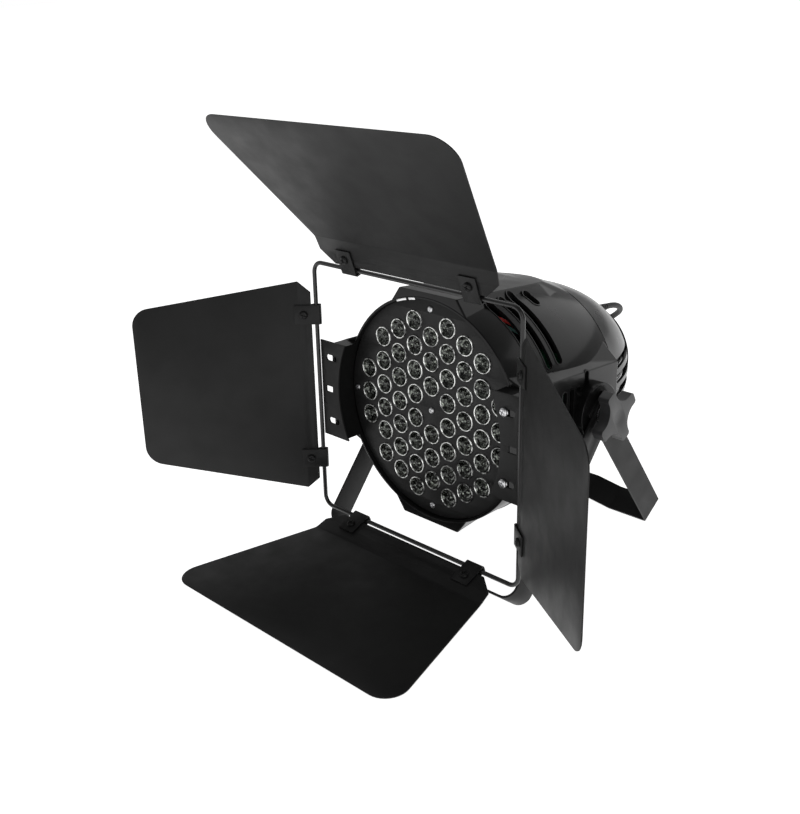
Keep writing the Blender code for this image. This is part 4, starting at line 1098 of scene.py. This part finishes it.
def make_rear_panel():
    face = PANEL_Y[1] + GAP
    holes = [circle(BUTTON_RADIUS + 2 * GAP, 32, (x, BUTTON_Z - PANEL_Z)) for x in BUTTON_X]
    holes += [circle(BARREL_RADIUS + GAP, 64, (x, SOCKET_Z - PANEL_Z))
              for x in (-SOCKET_X, SOCKET_X)]
    panel = face_plate(circle(PANEL_RADIUS, 96), PANEL_Y[0], PANEL_Y[1] - PANEL_Y[0], holes)
    placed(panel, shift(0, 0, PANEL_Z))
    finish_piece(softened(panel, 0.2 * MM, 2), "rear_panel", "black_satin", "head",
                 ["control_panel"])
    window = softened(box((-16 * MM, face, 5.5 * MM), (16 * MM, face + 1.6 * MM, 18.5 * MM)),
                      0.6 * MM, 4)
    finish_piece(window, "display_glass", "display", "head", ["display_window"])
    spots = [(-26 * MM, PANEL_Z + 3 * MM), (26 * MM, PANEL_Z + 3 * MM)]
    screw = placed(pan_head_screw(2.4 * MM, 1.3 * MM, 1.5 * MM), turn_about("Z", 180))
    screws = placed(repeated(screw, spots, "screws"), shift(0, PANEL_Y[1], 0))
    finish_piece(screws, "panel_screws", "steel", "head")

    make_socket("dmx_in_socket", -SOCKET_X, face, False)
    make_socket("dmx_out_socket", SOCKET_X, face, True)

    for k, x in enumerate(BUTTON_X):
        cap = softened(rod((x, face - 6.5 * MM, BUTTON_Z), (x, face + 2.2 * MM, BUTTON_Z),
                           BUTTON_RADIUS, 40), 0.6 * MM, 4)
        flange = rod((x, face - 6.5 * MM, BUTTON_Z), (x, face - 4 * MM, BUTTON_Z),
                     BUTTON_RADIUS + 1 * MM, 40)
        finish_piece(join(cap, flange), f"button_cap_{k + 1}", "grey_plastic",
                     f"button_{k + 1}", [f"button_{k + 1}"])


# ---------------------------------------------------------------- yokes and knobs

def yoke_place(yoke):
    return shift(0, PIVOT_Y, 0) @ Matrix.Rotation(-yoke["lean"], 4, "X")


def make_yoke(name, yoke):
    half = YOKE_SHEET / 2
    x = yoke["outer_x"] - half
    z = -(yoke["reach"] - half)
    corner = yoke["bend"] - half
    path = [(-x, YOKE_TOP), (-x, z)]
    radii = [0, corner]
    if yoke["joggle"]:
        lift = yoke["joggle"]
        for px, pz in ((-70 * MM, z), (-46 * MM, z + lift), (46 * MM, z + lift), (70 * MM, z)):
            path.append((px, pz))
            radii.append(8 * MM)
    path += [(x, z), (x, YOKE_TOP)]
    radii += [corner, 0]
    strip = sheet_prism(ribbon(rounded(path, radii, 12), half), yoke["width"] / 2)
    placed(strip, turn_about("X", 90))
    strip = cut(strip, rod((0, 0, z - 20 * MM), (0, 0, z + 20 * MM), 5.25 * MM, 40))
    for px in yoke["side_holes"]:
        strip = cut(strip, rod((px, 0, z - 20 * MM), (px, 0, z + 20 * MM), 3.2 * MM, 32))
    strip = cut(strip, rod(mm(-130, 0, 0), mm(130, 0, 0), STUD_RADIUS + 0.5 * MM, 32))
    strip = softened(strip, 0.35 * MM, 2, 40)
    finish_piece(strip, name + "_strip", "black_powder", name, [name],
                 place=HEAD @ yoke_place(yoke))


def star_outline():
    """Four arms with round corners and hollow flanks, all of arcs that meet smoothly."""
    steps = 10
    hollow_at, hollow, corner = mm(30, 15.5, 3)
    reach = KNOB_TIP - corner
    cosine = (reach ** 2 + hollow_at ** 2 - (hollow + corner) ** 2) / (2 * reach * hollow_at)
    off = 45 - math.degrees(math.acos(cosine))
    points = []
    for arm in range(4):
        middle, following = 90 * arm, 90 * arm + 90
        centre = polar(hollow_at, middle + 45)
        first, second = polar(reach, middle + off), polar(reach, following - off)
        to_first = middle + (heading(centre, first) - middle) % 360
        to_second = middle + (heading(centre, second) - middle) % 360
        points += arc(first, corner, middle + off, to_first - 180, steps)
        points += arc(centre, hollow, to_first, to_second, 3 * steps)[1:-1]
        points += arc(second, corner, to_second - 180, following - off, steps)
    return points


def make_knob(side_name, side):
    start = FRONT_YOKE["outer_x"]
    place = HEAD @ shift(side * start, PIVOT_Y, 0) @ Matrix.Rotation(
        math.radians(0 if side > 0 else 180), 4, "Z")
    body = "knob_" + side_name
    washer = cut(rod((GAP, 0, 0), mm(1.8, 0, 0), 11 * MM, 48),
                 rod(mm(-1, 0, 0), mm(3, 0, 0), STUD_RADIUS + GAP, 32))
    finish_piece(softened(washer, 0.25 * MM), "washer_" + side_name, "steel", body,
                 ["knob_washer_" + side_name], place)
    depth = KNOB_FACE - start
    star = sheet_prism(star_outline(), (depth - 5 * MM) / 2)
    placed(star, shift((depth + 5 * MM) / 2, 0, 0)
           @ turn_about("X", 30)
           @ turn_about("Y", 90))
    star = softened(star, 1.8 * MM, 5, 50)
    knob = join(star, rod((1.8 * MM + GAP, 0, 0), mm(6, 0, 0), 12 * MM, 48))
    knob = cut(knob, rod((0, 0, 0), (depth - 4 * MM, 0, 0), STUD_RADIUS + GAP, 32),
               rod((depth - 0.8 * MM, 0, 0), (depth + 2 * MM, 0, 0), 6 * MM, 64, 13 * MM))
    finish_piece(knob, "star_knob_" + side_name, "grey_plastic", body, [body], place)
    stud = softened(rod(mm(-24, 0, 0), (depth - 4.4 * MM, 0, 0), STUD_RADIUS, 40), 0.5 * MM)
    finish_piece(stud, "stud_" + side_name, "steel", body, ["knob_stud_" + side_name], place)


# ---------------------------------------------------------------- barn door

def make_wire_frame():
    half = FRAME_SIDE / 2
    corners = [(-half, -half), (half, -half), (half, half), (-half, half)]
    outline = rounded(corners, [FRAME_CORNER] * 4, 12)
    points = [HEAD @ Vector((x, FRAME_Y, z)) for x, z in outline]
    wire = tube("door_frame_rod", points, ROD_RADIUS, 6, cyclic=True)
    finish_curve(wire, "rod_paint", "black_satin", "wire_frame")


def make_side_plate(side_name, side):
    chord = PLATE_HALF_HEIGHT
    outer = 119 * MM
    inner_corner, inner_middle = 86 * MM, 97 * MM
    sag = inner_middle - inner_corner
    radius = (chord ** 2 + sag ** 2) / (2 * sag)
    centre = inner_middle - radius
    half_angle = math.degrees(math.asin(chord / radius))
    outline = arc((centre, 0), radius, half_angle, -half_angle, 32)
    outline += [(outer, -chord), (outer, chord)]
    holes = []
    for z in (-PLATE_SCREW[1], PLATE_SCREW[1]):
        holes.append(rounded([(98 * MM, z - 3 * MM), (112 * MM, z - 3 * MM),
                              (112 * MM, z + 3 * MM), (98 * MM, z + 3 * MM)], [2.95 * MM] * 4, 8))
    holes.append([mm(105, -3), mm(114, -3), mm(114, 3),
                  mm(105, 3)])
    plate = softened(face_plate(outline, PLATE_Y[0], PLATE_Y[1] - PLATE_Y[0], holes),
                     0.2 * MM, 2)
    x, y = 115.5 * MM, PLATE_Y[0]
    dimples = [rod((x, y - 0.5 * MM, z), (x, y + 0.5 * MM, z), 1.9 * MM, 24, 2.6 * MM)
               for z in mm(-16.5, 16.5)]
    plate = join(plate, *dimples)
    if side < 0:
        placed(plate, turn_about("Y", 180))
    finish_piece(plate, f"door_plate_{side_name}", "black_powder", "head",
                 [f"side_plate_{side_name}"])


def make_plate_screws():
    x = PLATE_SCREW[0]
    back = PLATE_Y[0] - GAP
    for name, z in (("plate_screw_upper", PLATE_SCREW[1]), ("plate_screw_lower", -PLATE_SCREW[1])):
        head = pan_head_screw(4 * MM, 2.4 * MM, 2.5 * MM, 40)
        shank = rod(mm(0, -0.5, 0), mm(0, 10.5, 0), 1.9 * MM, 24)
        screw = placed(join(head, shank), shift(x, back, z))
        finish_piece(screw, name + "_zinc", "steel", "head", [name])


def leaf_place(position, angle):
    half = FRAME_SIDE / 2
    c, s = math.cos(angle), math.sin(angle)
    along, inner, at = {
        "top": ((0, -c, s), (0, -s, -c), (0, FRAME_Y, half)),
        "bottom": ((0, -c, -s), (0, -s, c), (0, FRAME_Y, -half)),
        "left": ((-s, -c, 0), (c, -s, 0), (-half, FRAME_Y, 0)),
        "right": ((s, -c, 0), (-c, -s, 0), (half, FRAME_Y, 0)),
    }[position]
    along, inner = Vector(along), Vector(inner)
    turn = Matrix((along.cross(inner), along, inner)).transposed().to_4x4()
    return HEAD @ Matrix.Translation(at) @ turn


LEAF_MID = ROD_RADIUS + 0.25 * MM - GAP - SHEET / 2
FRONT_LEG = ROD_RADIUS + 0.25 * MM + CLAMP_SHEET / 2


def leaf_outline(leaf):
    """The leaf's flat blank in its hinge frame, symmetric about u = 0."""
    shoulder_half, shoulder = leaf["shoulder"]
    corners = [(-leaf["hinge_half"], LEAF_START), (leaf["hinge_half"], LEAF_START),
               (shoulder_half, shoulder)]
    radii = [0.8 * MM, 0.8 * MM, 1.5 * MM]
    if leaf["crease"]:
        corners.append((shoulder_half + 1.5 * MM, CREASE))
        radii.append(2 * MM)
    corners.append((leaf["outer_half"], leaf["length"]))
    radii.append(leaf["corner"])
    mirror = [(-u, v) for u, v in corners[:1:-1]]
    return rounded(corners + mirror, radii + radii[:1:-1], 10)


def folded(leaf, v):
    """Where a point of the flat blank goes, as (v, height), with a soft bend at the crease."""
    reach = 2.2 * MM
    if not leaf["crease"] or v < CREASE - reach:
        return v, LEAF_MID
    t = min(1.0, (v - CREASE + reach) / (2 * reach))
    angle = CREASE_BEND * t
    radius = 2 * reach / CREASE_BEND
    bent_v = CREASE - reach + radius * math.sin(angle)
    height = LEAF_MID + radius * (1 - math.cos(angle))
    beyond = max(0.0, v - CREASE - reach)
    return bent_v + beyond * math.cos(angle), height + beyond * math.sin(angle)


def make_leaf(position, leaf):
    """Cut from a flat blank with rows of points across the bend, then folded."""
    outline = leaf_outline(leaf)
    blank = sheet_prism(outline, SHEET / 2, [circle(2.3 * MM, 24, (u, SCREW_V))
                                             for u in (-CLAMP_U, CLAMP_U)])
    blank = softened(blank, 0.22 * MM, 2, 50)
    shape = bmesh.new()
    shape.from_mesh(blank.data)
    if leaf["crease"]:
        for k in range(-3, 4):
            bmesh.ops.bisect_plane(shape, geom=shape.verts[:] + shape.edges[:] + shape.faces[:],
                                   plane_co=(0, CREASE + k * 0.73 * MM, 0), plane_no=(0, 1, 0))
    for vert in shape.verts:
        v, height = folded(leaf, vert.co.y)
        vert.co = (vert.co.x, v, vert.co.z + height)
    shape.to_mesh(blank.data)
    shape.free()
    place = leaf_place(position, math.radians(LEAF_ANGLE[position]))
    body = "leaf_" + position
    finish_piece(blank, f"door_leaf_{position}", "black_powder", body, [body], place, smooth=40)
    for k, u in enumerate((-CLAMP_U, CLAMP_U)):
        make_clamp(position, k + 1, u, place)


def make_clamp(position, number, u, place):
    """A strip folded round the rod, with its screw and nut."""
    back_leg = LEAF_MID - SHEET / 2 - GAP - CLAMP_SHEET / 2
    path = [(20 * MM, FRONT_LEG), (-3.9 * MM, FRONT_LEG), (-3.9 * MM, -FRONT_LEG),
            (2.6 * MM, -FRONT_LEG), (6.5 * MM, back_leg), (16.5 * MM, back_leg)]
    centre_line = rounded(path, [0, 1.2 * MM, 1.2 * MM, 1.2 * MM, 1.2 * MM, 0], 8)
    clamp = sheet_prism(ribbon(centre_line, CLAMP_SHEET / 2), CLAMP_WIDTH / 2)
    placed(clamp, shift(u, 0, 0) @ ON_EDGE)
    clamp = softened(clamp, 0.2 * MM, 2, 50)
    clamp = cut(clamp, rod((u, SCREW_V, -8 * MM), (u, SCREW_V, 8 * MM), 2.3 * MM, 24))
    body = "leaf_" + position
    node = f"clamp_{position}_{number}"
    finish_piece(clamp, node + "_strip", "black_satin", body, [node], place)

    front = FRONT_LEG + CLAMP_SHEET / 2 + GAP
    back = LEAF_MID - SHEET / 2 - GAP - CLAMP_SHEET - GAP
    head = pan_head_screw(3.9 * MM, 2.2 * MM, 2.4 * MM, 36)
    # the screw's head faces local -Y: turned to face the hinge frame's +Z
    placed(head, shift(u, SCREW_V, front) @ Matrix.Rotation(
        math.radians(-90), 4, "X"))
    shank = rod((u, SCREW_V, back - 3.4 * MM), (u, SCREW_V, front + 0.4 * MM), 1.8 * MM, 24)
    nut = softened(rod((u, SCREW_V, back - 2.6 * MM), (u, SCREW_V, back), 3.8 * MM, 6), 0.3 * MM)
    screw = join(head, shank, nut)
    node = f"clamp_screw_{position}_{number}"
    finish_piece(screw, node + "_black", "black_satin", body, [node], place)


# ---------------------------------------------------------------- mains lead

def lead_points():
    """From the strain relief over a hanging bow and down to the coil."""
    x, z = (v / MM for v in GLAND)
    bow = [(x, 263.4, z), (x, 266, z), (x - 0.8, 276, z - 1.2), (x - 2, 287, z - 4),
           (x - 4.5, 297, z - 9), (x - 10, 304.5, z - 15.5), (x - 19, 308.5, z - 22.5),
           (x - 30, 311, z - 31), (x - 41, 315, z - 46), (x - 52, 321, z - 68),
           (x - 61, 328, z - 92), (x - 69, 335, z - 115), (x - 75, 341, z - 134)]
    points = [HEAD @ (Vector(p) * MM) for p in bow]
    outside = COIL_RADII[1] + CORD_RADIUS + 0.5 * MM
    points += [coil_point(outside, angle, lift * MM)
               for angle, lift in ((52, 13), (67, 5.5))]
    return points


def coil_point(radius, angle, height):
    x, y = polar(radius, angle)
    return Vector((COIL_CENTRE[0] + x, COIL_CENTRE[1] + y, height))


def coil_route():
    """Three turns inwards on the floor and three outwards on top of them.

    Each turn keeps its radius for most of the way round and then shifts one cord's width in
    the same sector, as a neatly wound coil does.
    """
    low, high = COIL_BASE + CORD_RADIUS, COIL_BASE + 3 * CORD_RADIUS
    rings = [COIL_RADII[1] - CORD_RADIUS * (1 + 2 * k) for k in range(3)]
    track = [(COIL_RADII[1] + CORD_RADIUS + 0.5 * MM, COIL_BASE + CORD_RADIUS - 1.1 * MM)]
    track += [(radius, low) for radius in rings]
    track += [(radius, high) for radius in rings[::-1]]
    track += [(COIL_RADII[1] + CORD_RADIUS + 0.8 * MM, 7 * MM)]
    points = []
    angle = 84
    for turn, (here, there) in enumerate(zip(track, track[1:])):
        climbing, leaving = turn == 3, turn == 6
        start, end = (84, 154) if turn == 0 or leaving else (62, 176)
        if turn:
            still = max(2, round((start + 360 - angle) / 12))
            points += [coil_point(here[0], angle + (start + 360 - angle) * k / still, here[1])
                       for k in range(still)]
        steps = round((end - start) / 10)
        for k in range(steps):
            t = k / steps
            ease = t * t * (3 - 2 * t)
            radius = here[0] + (there[0] - here[0]) * ease
            if climbing:
                radius -= 2.5 * MM * math.sin(math.pi * t) ** 2
            drop = max(0.0, 2 * t - 1) ** 2 if leaving else ease
            height = here[1] + (there[1] - here[1]) * drop
            points.append(coil_point(radius, start + (end - start) * t, height))
        angle = end
    points.append(coil_point(track[-1][0], angle, track[-1][1]))
    return points


def tail_points():
    outside = COIL_RADII[1] + CORD_RADIUS + 0.5 * MM
    low = CORD_RADIUS + 0.3 * MM
    points = [coil_point(outside + extra * MM, angle, low + lift * MM)
              for angle, extra, lift in ((159, 1.2, 1.7), (168, 3.4, 0.4), (176, 6.8, 0.1))]
    px, py = PLUG_START
    points += [Vector((px, py + 14 * MM, 7.2 * MM)), Vector((px, py + 5 * MM, PLUG_HEIGHT)),
               Vector((px, py - 1 * MM, PLUG_HEIGHT))]
    return points


def make_cord():
    """The whole mains lead as one curve: bow, six turns in two layers, and the plug's tail."""
    route = smooth_route(lead_points() + coil_route() + tail_points(), 7.5 * MM)
    lead = tube("mains_lead", route, CORD_RADIUS, 6, kind="NURBS")
    lead.data.resolution_u = 4
    spline = lead.data.splines[0]
    spline.order_u = 4
    spline.use_endpoint_u = True
    finish_curve(lead, "black_rubber", "black_rubber", "cord_lead", "cord_coil", "cord_tail")
    tie = make_tie()
    plug, pins = make_plug()


def make_tie():
    """A strap round the coil's section, with its tongue laid over."""
    inner, outer = COIL_RADII
    low, high = COIL_BASE, COIL_BASE + 4 * CORD_RADIUS
    clear, sheet = GAP, 0.9 * MM
    corners = [(inner - clear - 0.8 * MM, low - clear), (outer + clear, low - clear),
               (outer + clear, high + clear), (inner - clear - 0.8 * MM, high + clear)]
    hole = rounded(corners, [2.6 * MM] * 4, 8)
    grown = [(x + (sheet if x > 36 * MM else -sheet), z + (sheet if z > low else -sheet))
             for x, z in corners]
    grown = [(x, max(z, 0.25 * MM)) for x, z in grown]
    loop = sheet_prism(rounded(grown, [3.4 * MM] * 4, 8), 4 * MM, [hole])
    tongue = box((33 * MM, high + clear + sheet, -3.6 * MM),
                 (44 * MM, high + clear + 2 * sheet, 3.6 * MM))
    # both lie in the plane of the section, x outwards and y upwards, and are then stood up
    tie = merged(softened(loop, 0.2 * MM), softened(tongue, 0.3 * MM))
    upright = Matrix(((1, 0, 0, 0), (0, 0, -1, 0), (0, 1, 0, 0), (0, 0, 0, 1)))
    place = (shift(COIL_CENTRE[0], COIL_CENTRE[1], 0)
             @ turn_about("Z", 300) @ upright)
    return finish_piece(tie, "coil_tie", "black_plastic", "head", ["cord_tie"], place)


def make_plug():
    """Moulded plug lying on its side: two flat blades and a round earth pin."""
    x, y = PLUG_START
    z = PLUG_HEIGHT
    profile = [(0, 0), mm(3.4, 0)]
    for k in range(4):
        profile += [((4.2 + 0.5 * k) * MM, (0.8 + 4 * k) * MM),
                    ((4.5 + 0.5 * k) * MM, (3 + 4 * k) * MM),
                    ((3.9 + 0.5 * k) * MM, (3.5 + 4 * k) * MM),
                    ((3.9 + 0.5 * k) * MM, (4.4 + 4 * k) * MM)]
    profile += [mm(6.4, 18), mm(0, 18)]
    relief = turned(profile[::-1], 48, "plug_relief")
    placed(relief, turn_about("Z", 180))
    body = box(mm(-13, -40, -10), mm(13, -15, 10))
    body = softened(body, 4.2 * MM, 6)
    for side in (-1, 1):
        for k in range(4):
            groove = rod((side * 13.4 * MM, (-20 - 3.4 * k) * MM, -7 * MM),
                         (side * 13.4 * MM, (-20 - 3.4 * k) * MM, 7 * MM), 0.8 * MM, 16)
            body = cut(body, groove)
    body = join(body, relief)
    plug = finish_piece(body, "plug_body", "black_rubber", "head", ["mains_plug"],
                        shift(x, y, z))
    pins = []
    for side in (-1, 1):
        blade = box(((side * 6.35 - 0.75) * MM, -57 * MM, 0.5 * MM),
                    ((side * 6.35 + 0.75) * MM, -39 * MM, 6.8 * MM))
        pins.append(softened(blade, 0.4 * MM, 3))
    pins.append(softened(rod(mm(0, -39, -5.5), mm(0, -60, -5.5), 2.4 * MM, 32),
                         1 * MM, 4))
    blades = finish_piece(merged(*pins), "plug_pins", "steel", "head", (),
                          shift(x, y, z))
    return plug, blades


def make_gland():
    """The hexagonal gland nut and the ribbed, tapering strain relief behind it."""
    x, z = GLAND
    nut = softened(rod((x, REAR_FACE + GAP, z), (x, GLAND_END - 3 * MM, z), 7.5 * MM, 6),
                   0.4 * MM, 3)
    collar = softened(rod((x, GLAND_END - 3.5 * MM, z), (x, GLAND_END, z), 6 * MM, 48),
                      0.8 * MM, 4)
    finish_piece(join(nut, collar), "gland_nut", "black_plastic", "head", ["cord_gland"])
    start, length = GLAND_END + GAP, RELIEF_END - GLAND_END - GAP
    outline = []
    ribs = 7
    for k in range(ribs):
        for part, depth in ((0.0, 0.0), (0.62, 0.0), (0.72, 0.75), (0.92, 0.75)):
            t = (k + part) / ribs
            outline.append(((5 - 1.6 * t - depth) * MM, start + length * t))
    outline.append((3.4 * MM, RELIEF_END))
    profile = [(0, RELIEF_END), *outline[::-1], (0, start)]
    relief = placed(turned(profile, 40, "relief"), shift(x, 0, z))
    finish_piece(relief, "strain_relief", "black_rubber", "head", ["cord_relief"])


# ---------------------------------------------------------------- run

add_camera()
make_cord()
make_gland()
add_studio()
make_housing()
make_rear_cap()
make_led_face()
make_insides()
make_rear_panel()
make_yoke("front_yoke", FRONT_YOKE)
make_yoke("rear_yoke", REAR_YOKE)
make_knob("left", -1)
make_knob("right", 1)
make_wire_frame()
make_side_plate("left", -1)
make_side_plate("right", 1)
make_plate_screws()
for position in ("top", "bottom"):
    make_leaf(position, WIDE_LEAF)
for position in ("left", "right"):
    make_leaf(position, SIDE_LEAF)
